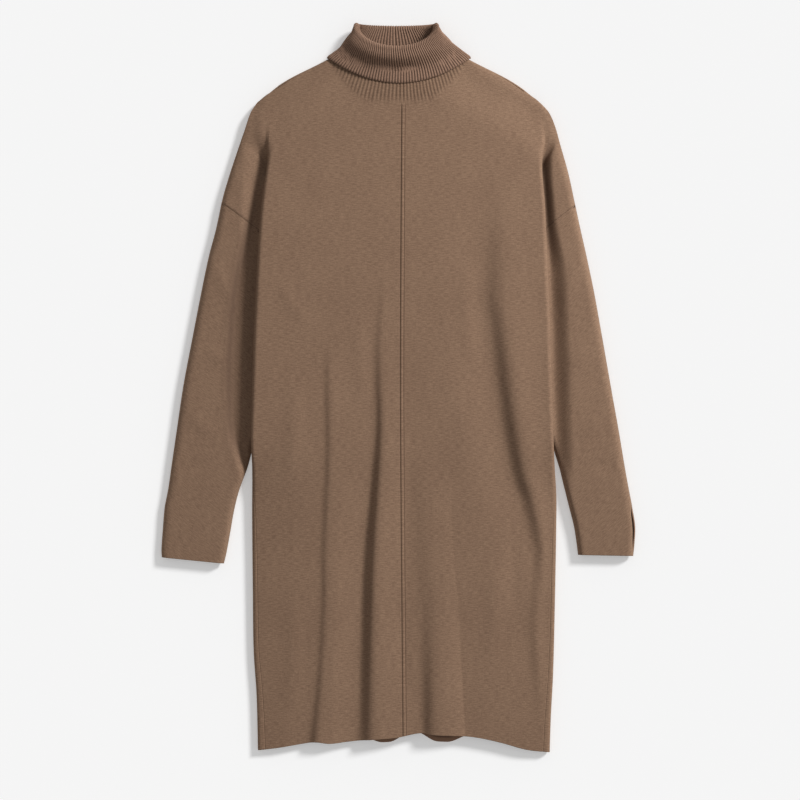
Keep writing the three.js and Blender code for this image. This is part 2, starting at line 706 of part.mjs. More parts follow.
// Sleeve: rings around the arm, each from the outline over the top to the inner edge and back underneath.
function sleeveRows(side) {
  const armhole = upperRows(side).at(-1);
  return side.sleeve.map((ring, k) => {
    const out = outlinePoint(side.sign * ring.outX, ring.outY);
    const inner = new THREE.Vector3(side.sign * ring.inX, ring.inY, 0);
    const width = out.distanceTo(inner);
    let root = new THREE.Vector3().lerpVectors(inner, out, INNER_ROUND / width);
    const tucked = smooth((ring.inY - TUCK_END) / TUCK_FADE);
    const clear = along(LEVELS, "under", ring.inY) - 2 * FOLD_HOLLOW;
    const low = mix(along(LEVELS, "arm", ring.inY), clear, tucked);
    const over = (share) => {
      if (k === 0) return capPoint(side, armhole, share);
      if (share === 1) return outlinePoint(out.x, out.y);
      const p = new THREE.Vector3().lerpVectors(root, out, share);
      const toInner = Math.hypot(inner.x - p.x, inner.y - p.y);
      const toOutline = Math.hypot(out.x - p.x, out.y - p.y);
      const level = armLevel(p, toOutline, low, along(side.edge, "x", p.y) - EDGE_COVER);
      p.z = level * mix(0.5, 1, rounded(toInner / (2 * INNER_ROUND)));
      return p;
    };
    if (k === 0) root = over(0);
    const points = [...CAP_COLUMNS].reverse().map(over);
    const brink = root.clone().add(inner.clone().sub(out).setZ(0).setLength(INNER_ROUND));
    points.push(brink.setZ(points.at(-1).z / 2));
    const under = outlinePoint(out.x, out.y);
    for (const share of UNDER_COLUMNS) points.push(underPoint(side, root, under, share));
    if (k >= SLIT_RING) {
      points[0].z += side.slitOpen / 2;
      points.at(-1).z -= side.slitOpen / 2;
    }
    return asRow(points);
  });
}

// Strips of cloth: rows of points, joined by triangles even where their counts differ.
function joinRows(a, b, flip, triangles) {
  let i = 0;
  let j = 0;
  while (i < a.length - 1 || j < b.length - 1) {
    const nextA = i < a.length - 1 ? a[i + 1].t : Infinity;
    const nextB = j < b.length - 1 ? b[j + 1].t : Infinity;
    const lower = nextB <= nextA + SAME;
    const third = lower ? b[j + 1].p : a[i + 1].p;
    triangles.push(flip ? [a[i].p, third, b[j].p] : [a[i].p, b[j].p, third]);
    if (lower) j += 1;
    else i += 1;
  }
}

function strip(rows, flip) {
  const triangles = [];
  for (let r = 0; r + 1 < rows.length; r += 1) joinRows(rows[r], rows[r + 1], flip, triangles);
  return triangles;
}

function asRow(points) {
  return points.map((p, k) => ({ p, t: k / (points.length - 1) }));
}

const keyOf = (p) => [p.x, p.y, p.z].map((v) => Math.round(v * 1000)).join(" ");

// One piece's outer face with its shared points merged. Triangles that close up to a line are dropped.
function mergedSheet(triangles) {
  const index = new Map();
  const points = [];
  const faces = [];
  const at = (p) => {
    const key = keyOf(p);
    if (!index.has(key)) {
      index.set(key, points.length);
      points.push({ p, key, raise: 0, outline: false });
    }
    const point = points[index.get(key)];
    point.raise = Math.max(point.raise, p.raise ?? 0);
    point.outline ||= p.outline ?? false;
    return index.get(key);
  };
  for (const triangle of triangles) {
    const [a, b, c] = triangle.map(at);
    if (a !== b && b !== c && c !== a) faces.push([a, b, c]);
  }
  return { points, faces };
}

// Normals over all the pieces together, so that neighbours turn the same way at a seam.
// Along the garment's outline, where front and back meet, they lie level.
function sharedNormals(sheets) {
  const normals = new Map();
  const level = new Set();
  for (const { points, faces } of sheets) {
    for (const face of faces) {
      const [a, b, c] = face.map((k) => points[k].p);
      const normal = new THREE.Vector3().crossVectors(b.clone().sub(a), c.clone().sub(a));
      for (const k of face) {
        const { key, outline } = points[k];
        if (outline) level.add(key);
        if (!normals.has(key)) normals.set(key, new THREE.Vector3());
        normals.get(key).add(normal);
      }
    }
  }
  for (const [key, normal] of normals) {
    if (level.has(key)) normal.setZ(0);
    normal.normalize();
  }
  return normals;
}

// A closed wall of cloth: the outer face, drawn back from its seams, and a plain inner face behind it.
function wall({ points, faces }, normals) {
  const edges = new Map();
  for (const [a, b, c] of faces) {
    for (const [from, to] of [[a, b], [b, c], [c, a]]) edges.set(from + " " + to, [from, to]);
  }
  const rim = [...edges.values()].filter(([from, to]) => !edges.has(to + " " + from));
  const inward = points.map(() => new THREE.Vector3());
  for (const [from, to] of rim) {
    const way = points[to].p.clone().sub(points[from].p).normalize();
    for (const k of [from, to]) {
      inward[k].add(new THREE.Vector3().crossVectors(normals.get(points[k].key), way));
    }
  }
  const position = [];
  const spots = points.map(({ p, key }, k) => {
    const spot = p.clone().addScaledVector(inward[k].normalize(), SEAM_GAP / 2);
    return { spot, normal: normals.get(key) };
  });
  const lifted = ({ spot, normal }, k) => spot.clone().addScaledVector(normal, points[k].raise);
  const sunk = ({ spot, normal }) => spot.clone().addScaledVector(normal, -WALL);
  for (const p of [...spots.map(lifted), ...spots.map(sunk)]) position.push(p.x, p.y, p.z);
  const inner = points.length;
  const index = [];
  for (const [a, b, c] of faces) index.push(a, b, c, c + inner, b + inner, a + inner);
  // The rim's diagonals run the same way on both sides of a seam.
  for (const [from, to] of rim) {
    if (points[from].key < points[to].key) index.push(to, from, to + inner, from, from + inner, to + inner);
    else index.push(to, from, from + inner, to, from + inner, to + inner);
  }
  const geometry = new THREE.BufferGeometry();
  geometry.setAttribute("position", new THREE.Float32BufferAttribute(position, 3));
  geometry.setIndex(index);
  geometry.computeVertexNormals();
  return geometry;
}

// Collar: one wall that goes up the stand, over the rim and down to the lower edge.
// A place on it is an angle round the neck, zero at the front, and a number of rings down the table.
function collarFace(angle, down) {
  const rolled = clamp01(down - RIM_INSIDE);
  const eased = (1 - Math.cos(HALF_TURN * rolled)) / 2;
  const before = down <= RIM_INSIDE;
  const after = down >= RIM_INSIDE + 1;
  const value = (column) => {
    if (before) return along(COLLAR.slice(0, RIM_INSIDE + 1), column, down, "ring");
    if (after) return along(COLLAR.slice(RIM_INSIDE + 1), column, down, "ring");
    return mix(COLLAR[RIM_INSIDE][column], COLLAR[RIM_INSIDE + 1][column], eased);
  };
  const reach = before || after ? 0 : RIM_REACH * Math.sin(HALF_TURN * rolled);
  const c = Math.cos(angle);
  const end = c >= 0 ? value("front") : value("back");
  const y = mix(value("side"), end, Math.abs(c) ** value("bow")) + reach;
  const middle = (value("top") + value("bottom")) / 2;
  const upright = Math.sign(c) * Math.abs(c) ** COLLAR_SQUARENESS;
  const z = middle + ((value("top") - value("bottom")) / 2) * upright;
  return new THREE.Vector3(value("x") + value("half") * Math.sin(angle), y, z);
}

// The same place, raised from the outer face by a height along the face's normal.
function collarPoint(angle, down, height) {
  const step = 1e-3;
  const round = collarFace(angle + step, down).sub(collarFace(angle - step, down));
  const low = Math.max(0, down - step);
  const high = Math.min(COLLAR.length - 1, down + step);
  const fall = collarFace(angle, high).sub(collarFace(angle, low));
  return collarFace(angle, down).addScaledVector(round.cross(fall).normalize(), -height);
}

// Angles that cut the collar's mean ring into even lengths.
function evenAngles(count) {
  const fine = COLLAR_MEAN_STEPS;
  const lengths = [0];
  for (let k = 1; k <= fine; k += 1) {
    const a = collarFace(((k - 1) / fine) * 2 * HALF_TURN, COLLAR_MEAN_RING);
    const b = collarFace((k / fine) * 2 * HALF_TURN, COLLAR_MEAN_RING);
    lengths.push(lengths[k - 1] + a.distanceTo(b));
  }
  const total = lengths[fine];
  return Array.from({ length: count }, (_, n) => {
    const k = lengths.findIndex((length) => length >= (total * n) / count);
    return (k / fine) * 2 * HALF_TURN;
  });
}

function collarGeometry() {
  const outerAngles = evenAngles(COLLAR_RIBS * 2);
  const loop = (angles, down, height) => {
    const points = angles.map((angle, k) => collarPoint(angle, down, height(k, angle)));
    return asRow([...points, points[0]]);
  };
  // The ribs stand up on every second column, but not where the fall lies on the surface.
  const ribHeight = (down) => (k, angle) => {
    if (k % 2) return 0;
    const fallsBehind = smooth(RIB_CLEAR * (1 - 2 * Math.cos(angle)) - 1);
    return COLLAR_RIB_HEIGHT * (down > RIM_INSIDE + 0.5 ? 1 - fallsBehind : 1);
  };
  const outer = COLLAR_ROWS.map((down) => loop(outerAngles, down, ribHeight(down)));
  const innerAngles = outerAngles.filter((_, k) => k % 2 === 0);
  const inner = COLLAR_ROWS.map((down) => loop(innerAngles, down, () => -WALL));
  const triangles = [...strip(outer, false), ...strip(inner, true)];
  joinRows(outer[0], inner[0], true, triangles);
  joinRows(outer.at(-1), inner.at(-1), false, triangles);
  const geometry = new THREE.BufferGeometry();
  const position = triangles.flatMap((triangle) => triangle.flatMap((p) => [p.x, p.y, p.z]));
  geometry.setAttribute("position", new THREE.Float32BufferAttribute(position, 3));
  geometry.computeVertexNormals();
  return geometry;
}

const cut = { back: [] };
for (const [name, side] of Object.entries(SIDES)) {
  const flip = side.sign < 0;
  const front = frontRows(side);
  const cap = capRows(side);
  const core = backRows(side, front[0]);
  cut["front_" + name] = [...strip(front, flip), ...strip(cap, flip)];
  cut.back.push(...strip(core, !flip));
  cut.back.push(...strip(backCapRows(side, front[0], cap[0], core), !flip));
  cut.back.push(...strip(edgeRows(side), !flip));
  cut["sleeve_" + name] = strip(sleeveRows(side), !flip);
}

const names = Object.keys(cut);
const sheets = names.map((name) => mergedSheet(cut[name]));
const normals = sharedNormals(sheets);
const group = new THREE.Group();
const addMesh = (name, geometry, color) => {
  const material = new THREE.MeshStandardMaterial({ color, roughness: KNIT_ROUGHNESS, metalness: 0 });
  const mesh = new THREE.Mesh(geometry, material);
  mesh.name = name;
  group.add(mesh);
};
names.forEach((name, k) => addMesh(name, wall(sheets[k], normals), KNIT_COLOR));
addMesh("collar", collarGeometry(), RIB_COLOR);
group.position.set(-PLAN_MIDDLE.x, -PLAN_MIDDLE.y, 0);

export default group;
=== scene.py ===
"""A knitted dress with a folded polo collar, laid flat on its back on a pale floor.

Its cloth is worked out in millimetres, with +Y toward the neck and +X toward the wearer's left.
"""
import math

import bmesh
import bpy
import numpy as np
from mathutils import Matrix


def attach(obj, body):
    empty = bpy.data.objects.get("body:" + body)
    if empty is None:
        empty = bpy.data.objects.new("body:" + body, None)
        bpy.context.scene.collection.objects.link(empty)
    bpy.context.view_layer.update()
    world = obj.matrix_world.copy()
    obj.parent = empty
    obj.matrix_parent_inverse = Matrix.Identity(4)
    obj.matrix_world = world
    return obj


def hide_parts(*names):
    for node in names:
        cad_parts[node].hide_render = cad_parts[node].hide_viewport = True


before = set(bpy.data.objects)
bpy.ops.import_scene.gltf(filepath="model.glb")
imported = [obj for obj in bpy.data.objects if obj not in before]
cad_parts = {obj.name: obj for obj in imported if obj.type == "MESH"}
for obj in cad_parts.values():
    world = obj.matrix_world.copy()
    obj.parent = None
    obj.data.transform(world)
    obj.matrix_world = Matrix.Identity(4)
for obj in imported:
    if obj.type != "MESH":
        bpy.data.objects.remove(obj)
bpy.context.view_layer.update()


# Front: two panels of fine jersey, knitted to shape and joined by a narrow welt down the middle.
# Each starts ribbed at the neck, rolls over the top of the arm that lies under it, and comes out
# again as the arm's cap, down to the armhole seam.

MM = 0.001
PLAN_MIDDLE = np.array([2.0, 1.06, 0.0])
CLOTH = 2.2
NECK_MIDDLE = 2.0
NECK_HALF = 91.0
NECK_SIDE_Y = 481.0
FRONT_NECK_DROP = 31.5
SHOULDER_BOW = 6.5
UNDERARM_Y = 200.0
SEAM_LEVEL = 6.2
NECK_SEAM_LEVEL = 10.8
NECK_SEAM_FADE = 45.0
SHOULDER_LEVEL = 12.0
SHOULDER_FADE = 75.0
FRONT_NECK_LEVEL = 18.4
SHOULDER_ROUND = 15.0
CUFF_ROUND = 12.0
FOLD_HOLLOW = 1.2
LEAST_ROLL = 2.9
ROLL_SPREAD = 10.0
HOLLOW_SPREAD = 5.0
OVAL_SQUARENESS = 0.55
EDGE_TOP = 430.0
FIRST_CAP = 30.0
ARM_DIP_LEVEL = 5.2
ROOT_BLEND_RUN = 18.0
FLANK_MIDDLE = 5.0
FLANK_WIDTH = 7.0
EDGE_COVER = 1.0
SEAM_APPROACH = 8.0
SEAM_APPROACH_RUN = 40.0
CAP_START_Y = 380.0
DIP_TOP = 362.0
DIP_TOP_FADE = 72.0
DIP_FOOT = -175.0
DIP_FOOT_FADE = 80.0
DIP_LEAD = 2.0
DIP_RUN = 8.0

CENTRE = [(450, 6.5), (100, 4.4), (-50, 4.4), (-505, 8)]

# Heights of the outer face over the floor, down the body: on the middle, at the edge, under the
# rolled edge and on the arm.
CROWN_LEVEL = [
    (450, 18.4), (380, 20), (200, 21), (0, 20.5), (-95, 19.5), (-130, 18.5), (-160, 18), (-300, 16.5),
    (-530, 15),
]
EDGE_LEVEL = [
    (450, 17), (380, 18.5), (320, 21.5), (200, 23.5), (0, 23.5), (-80, 22), (-130, 16), (-160, 12.5),
    (-300, 10.5), (-530, 10),
]
UNDER_LEVEL = [
    (450, 11.4), (380, 11.4), (200, 11.4), (0, 11.4), (-95, 11), (-130, 3.5), (-160, 0), (-300, 0),
    (-530, 0),
]
ARM_LEVEL = [
    (450, 15.5), (380, 15.5), (200, 15.5), (0, 15), (-95, 14.5), (-130, 14), (-160, 13.5), (-300, 12),
    (-530, 11),
]
# How far the edge is turned back over the arm in degrees, how much is folded under, and how
# closely the rows there still run with the shoulder.
FOLD_TURN = [(430, 0), (395, 1), (370, 16), (345, 66), (315, 142), (290, 178), (250, 180), (200, 180)]
FOLD_LENGTH = [(430, 4), (395, 4), (370, 5), (345, 6), (315, 9), (290, 15), (250, 26), (200, 34)]
FOLD_SLANT = [(430, 1), (395, 0.6), (370, 0.2), (345, 0), (200, 0)]
# Where the side seam lies: 0 at the middle of the rolled edge, 1 on top of it.
SIDE_SEAM_ON_TOP = [(200, 0), (-120, 0), (-180, 0.55), (-380, 0.75), (-530, 1)]

# The two sides, with Y first in each row. Beside the body's edge the arm dips: how far out the dip
# ends, how long the rise past it is, and how strong the painted shadow at the foot of that rise is,
# which deepens the body's cast shadow there.
RIGHT = {
    "name": "right",
    "sign": -1,
    "shoulder": (202.5, 413),
    "armhole": (254, 268),
    "seam_reach": 6,
    "dip_end": [(330, 3), (272, 9), (200, 18), (128, 27), (-40, 27), (-100, 14), (-175, 4)],
    "dip_rise": [(350, 40), (300, 30), (250, 18), (200, 13), (-175, 13)],
    "dip_painted_shadow": [(290, 0), (200, 0.5), (-60, 0.5), (-120, 0)],
    "sleeve_flat": (0.26, 0.5),
    "sleeve_area": 0.12,
    "cap": [(413, 202.5), (398, 212), (372, 221), (346, 230), (313, 241), (287, 249), (268, 254)],
    "edge": [
        (430, 175), (376, 179.5), (322, 187.5), (273, 194.5), (239, 198), (186, 201.5), (72, 207),
        (-45, 210.5), (-77, 211), (-115, 209.3), (-183, 209.5), (-300, 208.5), (-380, 207.4),
        (-448, 203), (-525, 201),
    ],
}
LEFT = {
    "name": "left",
    "sign": 1,
    "shoulder": (209, 411),
    "armhole": (258, 265),
    "seam_reach": 5,
    "dip_end": [(380, 0), (240, 0), (170, 5), (-175, 5)],
    "dip_rise": [(380, 20), (300, 17), (240, 18), (170, 24), (-175, 24)],
    "dip_painted_shadow": [(405, 0), (350, 0.4), (290, 0.55), (240, 0.5), (170, 0)],
    "sleeve_flat": (0.24, 0.5),
    "sleeve_area": 0.107,
    "cap": [(411, 209), (398, 220), (376, 229.5), (350, 237), (311, 248), (265, 258)],
    "edge": [
        (430, 186), (402, 197), (355, 207.5), (300, 210.5), (267, 213.5), (186, 217), (104, 220.5),
        (0, 223.7), (-97, 227), (-157, 230.5), (-203, 230.3), (-309, 228.5), (-415, 225.8),
        (-474, 222.4), (-525, 220.7),
    ],
}

# Long folds. Each is a step up to the right: the place of its line, the step and its width down the
# dress, the share of the step that lies in the hollow on its left, and how far each side reaches.
FOLDS = [
    {
        "line": [
            (60, -101), (-17, -101), (-90, -100), (-235, -106), (-307, -106), (-416, -112), (-520, -122),
        ],
        "step": [(70, 0), (0, 2.6), (-90, 3.2), (-380, 3.6), (-450, 5), (-520, 7.5)],
        "width": [(60, 4), (-380, 4.2), (-520, 5.5)],
        "hollow": 0.4,
        "right": [(60, 30), (-520, 42)],
        "left": 48.0,
        "foot": 0.0,
    },
    {
        "line": [(170, -21), (55, -28), (-54, -26), (-126, -30), (-235, -38), (-344, -42), (-520, -46)],
        "step": [(175, 0), (91, 2), (19, 4.2), (-54, 7), (-126, 10), (-235, 13), (-380, 13.5), (-520, 13)],
        "width": [(170, 4.5), (0, 4.8), (-160, 5.5), (-300, 6.6), (-420, 7.6), (-520, 9)],
        "hollow": 0.45,
        "right": [(170, 30), (-100, 50), (-520, 68)],
        "left": 52.0,
        "foot": 0.0,
    },
    {
        "line": [(-80, 30), (-200, 33), (-271, 39), (-344, 43), (-520, 44)],
        "step": [(-100, 0), (-160, 2.4), (-300, 4), (-344, 5.2), (-416, 8.4), (-470, 9.5), (-520, 9)],
        "width": [(-100, 13), (-300, 13), (-400, 9), (-520, 7.6)],
        "hollow": 0.3,
        "right": [(-100, 48), (-300, 46), (-520, 55)],
        "left": 40.0,
        "foot": 2.4,
    },
    {
        "line": [
            (250, 142), (128, 138), (91, 144), (19, 153), (-54, 163), (-126, 177), (-162, 189), (-235, 204),
            (-300, 199), (-350, 196), (-460, 203),
        ],
        "step": [
            (290, 0), (200, 5.5), (128, 8), (55, 11.5), (-17, 13), (-90, 12.6), (-162, 10.5), (-235, 6),
            (-300, 3.2), (-380, 3.8), (-450, 1.5), (-500, 0),
        ],
        "width": [(250, 15), (128, 11.5), (-17, 11), (-162, 9.5), (-235, 7.5), (-450, 7)],
        "hollow": 0.5,
        "right": [(250, 72), (128, 76), (19, 64), (-90, 52), (-162, 36), (-235, 22), (-450, 24)],
        "left": 78.0,
        "foot": 0.0,
    },
]

FRONT_HEM = [
    (-201, -524), (-170, -520), (-136, -514.3), (-117, -511.8), (-97, -514), (-75, -511.8),
    (-28, -507), (0, -505), (33, -499), (54, -501), (96, -503), (120, -506), (151, -513),
    (187, -523), (221, -527),
]
HEM_ZONE = -435.0
HEM_LEVEL = -515.0

RIB_COLUMNS = 6
FINE_COLUMNS = 8
SHOULDER_COLUMNS = 40
ROLL_COLUMNS = 7
CAP_COLUMNS = 39
CAP_CROWDING = 0.8
YOKE_RIBS = 20
RIDGE_POWER = 1.5
YOKE_LEAN = 0.0068
YOKE_RIB_HEIGHT = 0.85
# YOKE_SHADE, JOIN_SHADE and STITCH_SHADE are painted shade in the rib hollows, the centre groove and the
# stitch line.
YOKE_SHADE = 0.4
YOKE_LENGTH = [(0, 41), (50, 42), (78, 26), (105, 12)]
YOKE_FADE = 15.0
PLAIN_FROM = 340.0
SEAM_LINE_HALF = 0.7
JOIN_DEPTH = 0.3
JOIN_SHADE = 0.3
WELT_START = 0.4
WELT_RISE = 1.4
WELT_WIDTH = 4.4
WELT_FALL = 1.2
WELT_HEIGHT = 0.8
WELT_TOP = 412.0
WELT_FADE = 6.0
WELT_LINE = 5.2
STITCH_DEPTH = 0.3
STITCH_SHADE = 0.5


def mix(a, b, t):
    """a at t = 0, b at t = 1, and a straight line between."""
    return a + (b - a) * t


def ease(t):
    """0 up to t = 0 and 1 from t = 1, with a soft start and end: three t squared less two t cubed."""
    k = np.clip(t, 0, 1)
    return k * k * (3 - 2 * k)


def quarter(t):
    """A quarter of a circle: 0 at t = 0, upright there, and level at 1 from t = 1 on."""
    k = 1 - np.clip(t, 0, 1)
    return np.sqrt(1 - k * k)


def curve(rows, at):
    """A smooth line through (place, value) rows, flat past both ends.

    Between two rows it is a cubic whose slope at each row is that of the chord over its neighbours.
    """
    place, value = np.array(sorted(rows), float).T
    chord = np.diff(value) / np.diff(place)
    slope = np.concatenate([chord[:1], (value[2:] - value[:-2]) / (place[2:] - place[:-2]), chord[-1:]])
    at = np.clip(at, place[0], place[-1])
    i = np.clip(np.searchsorted(place, at, side="right") - 1, 0, len(place) - 2)
    gap = place[i + 1] - place[i]
    t = (at - place[i]) / gap
    level = value[i] * (1 + 2 * t) * (1 - t) ** 2 + value[i + 1] * t * t * (3 - 2 * t)
    return level + gap * t * (1 - t) * (slope[i] * (1 - t) - slope[i + 1] * t)


def shoulder_slope(side):
    """How much the shoulder line falls for each millimetre outward."""
    run = side["shoulder"][0] - abs(NECK_MIDDLE + side["sign"] * NECK_HALF)
    return (NECK_SIDE_Y - side["shoulder"][1]) / run


def shoulder_bow(side, x):
    """How far the shoulder bows up from its straight line: half a sine wave, fuller toward the arm."""
    neck_side = abs(NECK_MIDDLE + side["sign"] * NECK_HALF)
    out = np.clip((np.abs(x) - neck_side) / (side["shoulder"][0] - neck_side), 0, 1)
    return SHOULDER_BOW * np.sin(math.pi * out**1.5)


def shoulder_y(side, x):
    """Y of the bowed shoulder line."""
    run = np.abs(x) - abs(NECK_MIDDLE + side["sign"] * NECK_HALF)
    return NECK_SIDE_Y - run * shoulder_slope(side) + shoulder_bow(side, x)


def top_line(side, x, drop):
    """Y of the neck curve, half an ellipse, and of the shoulder line beyond it."""
    across = np.abs(x - NECK_MIDDLE) / NECK_HALF
    neck = NECK_SIDE_Y - drop * np.sqrt(np.maximum(0, 1 - across**2))
    return np.where(across < 1, neck, shoulder_y(side, x))


def top_level(x, neck_level):
    """Height of the top line: a squared oval round the neck, then down to the shoulder seam."""
    across = np.abs(x - NECK_MIDDLE) / NECK_HALF
    oval = np.maximum(0, 1 - across**2) ** (OVAL_SQUARENESS / 2)
    shoulder = mix(NECK_SEAM_LEVEL, SEAM_LEVEL, ease((across - 1) * NECK_HALF / NECK_SEAM_FADE))
    return np.where(across < 1, mix(NECK_SEAM_LEVEL, neck_level, oval), shoulder)


def long_folds(x, y):
    """Steps across the fold lines, each a hyperbolic tangent less the share in its hollow.

    Both sides of a step fade out to the level of the cloth: softly, or as one less a power of the way
    to a crisp foot.
    """
    total = np.zeros(np.broadcast(x, y).shape)
    for fold in FOLDS:
        off = x - curve(fold["line"], y)
        step = (1 + np.tanh(off / curve(fold["width"], y))) / 2 - fold["hollow"]
        way = np.clip(np.abs(off) / np.where(off > 0, curve(fold["right"], y), fold["left"]), 0, 1)
        fade = 1 - ease(way)
        if fold["foot"]:
            fade = np.where(off > 0, 1 - way ** fold["foot"], fade)
        total += curve(fold["step"], y) * step * fade
    return total


def round_to_top(side, x, y, level):
    """Lowers a face over the shoulder, and turns it down to the seam along the top line."""
    steep = 1 / math.hypot(1, shoulder_slope(side))
    below_shoulder = (shoulder_y(side, x) - y) * steep
    lowered = mix(SHOULDER_LEVEL, level, ease(below_shoulder / SHOULDER_FADE))
    near = quarter((top_line(side, x, FRONT_NECK_DROP) - y) * steep / SHOULDER_ROUND)
    return mix(top_level(x, FRONT_NECK_LEVEL), lowered, near)


def front_level(side, x, y):
    """Height of the front: its crown falls off to the edge with the cube of the distance out."""
    centre = curve(CENTRE, y)
    edge = side["sign"] * curve(side["edge"], y)
    across = np.clip((x - centre) / (edge - centre), 0, 1)
    level = mix(curve(CROWN_LEVEL, y), curve(EDGE_LEVEL, y), across**3) + long_folds(x, y)
    return round_to_top(side, x, y, level)


def edge_at(side, y):
    """The rolled edge at a height: where the roll starts, its top and radius, and how far it turns."""
    edge = curve(side["edge"], y)
    under = np.maximum(0, curve(UNDER_LEVEL, y))
    turn = np.where(y >= UNDERARM_Y, np.radians(curve(FOLD_TURN, y)), math.pi)
    plain = (curve(EDGE_LEVEL, y) - under) / 2
    opened = (1 - turn / math.pi) ** 2
    start = edge - plain * np.sin(np.minimum(turn, math.pi / 2)) - ROLL_SPREAD / 2 * opened
    top = front_level(side, side["sign"] * start, y)
    radius = np.maximum(LEAST_ROLL, (top - under) / 2)
    return start, top, radius, under, turn, opened


def place(x, y, z):
    """Three arrays of one shape as an array of points."""
    return np.stack(np.broadcast_arrays(x, y, z), axis=-1).astype(float)


def fold_over_arm(side, y, rolled, run, hollow):
    """A point of the fold over the arm: round the roll, in along the folded length, up the hollow.

    Each share goes from 0 to 1 and starts when the one before it is full.
    """
    start, top, radius, _, turn, opened = edge_at(side, y)
    angle = turn * rolled
    x = start + radius * np.sin(angle) + ROLL_SPREAD * opened * rolled
    z = top - radius * (1 - np.cos(angle))
    length = curve(FOLD_LENGTH, y) * run
    x = x + length * np.cos(turn)
    z = z - length * np.sin(turn)
    left = turn * (1 - hollow)
    x = x + FOLD_HOLLOW * (np.sin(turn) - np.sin(left)) + HOLLOW_SPREAD * opened * hollow
    z = z - FOLD_HOLLOW * (np.cos(left) - np.cos(turn))
    slant = curve(FOLD_SLANT, y) * shoulder_slope(side)
    return place(side["sign"] * x, y - slant * (x - start), z)


def edge_section(side, y, past):
    """A point of the body's section below the underarm, at a length past the start of the roll."""
    start, top, radius, under, _, _ = edge_at(side, y)
    turned = np.clip(past / radius, 0, math.pi)
    x = side["sign"] * (start + np.minimum(past, 0) + radius * np.sin(turned))
    rolled = mix(top, under, (1 - np.cos(turned)) / 2)
    return place(x, y, np.where(past <= 0, front_level(side, x, y), rolled))


def seam_past(side, y):
    """Length from the start of the roll to the side seam."""
    at_edge = edge_at(side, y)[2] * math.pi / 2
    return mix(at_edge, -side["seam_reach"], curve(SIDE_SEAM_ON_TOP, y))


def arm_level(side, p, to_outline, low, start):
    """Height of the arm: low under the body's edge, up to its crown, then round to the outline.

    Beside the edge it dips before it rises, but for its top and its lower end.
    """
    beside = np.abs(p[..., 0]) - start
    y = p[..., 1]
    dips = ease((DIP_TOP - y) / DIP_TOP_FADE) * ease((y - DIP_FOOT) / DIP_FOOT_FADE)
    dip = mix(low, np.minimum(low, ARM_DIP_LEVEL), dips * ease((beside + DIP_LEAD) / DIP_RUN))
    rise = (beside - curve(side["dip_end"], y) * dips) / curve(side["dip_rise"], y)
    level = mix(dip, curve(ARM_LEVEL, y), ease(rise))
    return mix(SEAM_LEVEL, level, quarter(to_outline / CUFF_ROUND))


def painted_flank_shadow(side, p):
    """Painted shadow at the foot of the arm's own long fold beside the body: a bell on its rising flank."""
    beside = np.abs(p[..., 0]) - curve(side["edge"], p[..., 1]) - curve(side["dip_end"], p[..., 1])
    along = np.maximum(0, curve(side["dip_painted_shadow"], p[..., 1]))
    return along * np.exp(-(((beside - FLANK_MIDDLE) / FLANK_WIDTH) ** 2))


def outline_y(side, fold_y):
    """Y on the arm's outline of the row that meets the fold at fold_y."""
    top = top_line(side, side["sign"] * curve(side["edge"], EDGE_TOP), FRONT_NECK_DROP)
    first = side["shoulder"][1] - FIRST_CAP
    outline = [side["armhole"][1], first, side["shoulder"][1]]
    return np.interp(fold_y, [UNDERARM_Y, CAP_START_Y, float(top)], outline)


def cap_point(side, fold_y, share):
    """A point of the cap: a straight line in plan from the fold's end to the outline."""
    root = fold_over_arm(side, fold_y, 1, 1, 1)
    out_y = outline_y(side, fold_y)
    out = place(side["sign"] * curve(side["cap"], out_y), out_y, SEAM_LEVEL)
    p = mix(root, out, np.asarray(share)[..., None])
    start = np.maximum(curve(side["edge"], p[..., 1]) - EDGE_COVER, np.abs(root[..., 0]))
    to_outline = np.hypot(out[..., 0] - p[..., 0], out[..., 1] - p[..., 1])
    level = arm_level(side, p, to_outline, root[..., 2], start)
    rounded = round_to_top(side, p[..., 0], p[..., 1], level)
    from_root = np.hypot(p[..., 0] - root[..., 0], p[..., 1] - root[..., 1])
    p[..., 2] = mix(root[..., 2], rounded, ease(from_root / ROOT_BLEND_RUN))
    return np.where(np.asarray(share)[..., None] >= 1, out, p)


def hem_y(x):
    """Y of the front hem."""
    return curve(FRONT_HEM, x)


def to_hem(points, y, hem):
    """Rows below the hem zone close in on the hem line, each by its share of the way down."""
    part = np.clip((y - HEM_ZONE) / (HEM_LEVEL - HEM_ZONE), 0, 1)
    lowered = mix(HEM_ZONE, hem(points[..., 0]), part)
    points[..., 1] = np.where(y < HEM_ZONE, lowered, points[..., 1])
    return points


def upper_fold_rows(side, steps):
    """Heights at the fold of the rows from the shoulder down to where the plain knit starts."""
    top = top_line(side, side["sign"] * curve(side["edge"], EDGE_TOP), FRONT_NECK_DROP)
    return mix(float(top), PLAIN_FROM, steps)


# The rows of the front, which the back shares: close together in the yoke, at the armhole seam, whose
# last rows sink in and take a painted shade, and at the hem.
YOKE_FINE = 0.34
YOKE_STEPS = np.concatenate([np.linspace(0, YOKE_FINE, 25)[:-1], np.linspace(YOKE_FINE, 1, 17)])
EDGE_CELL = 0.6
SEAM_CELL = 0.45
SEAM_SHADE = np.array([0.0, 0.7, 0.9])
SEAM_ROWS = len(SEAM_SHADE)
SEAM_DEPTH = 0.5
ARM_ROWS = np.concatenate([
    np.linspace(PLAIN_FROM, UNDERARM_Y + 2 * SEAM_CELL, 28)[1:], [UNDERARM_Y + SEAM_CELL, UNDERARM_Y],
])
BODY_ROWS = np.concatenate([
    np.linspace(UNDERARM_Y, HEM_ZONE, 118)[1:], np.linspace(HEM_ZONE, HEM_LEVEL + EDGE_CELL, 18)[1:],
    [HEM_LEVEL],
])


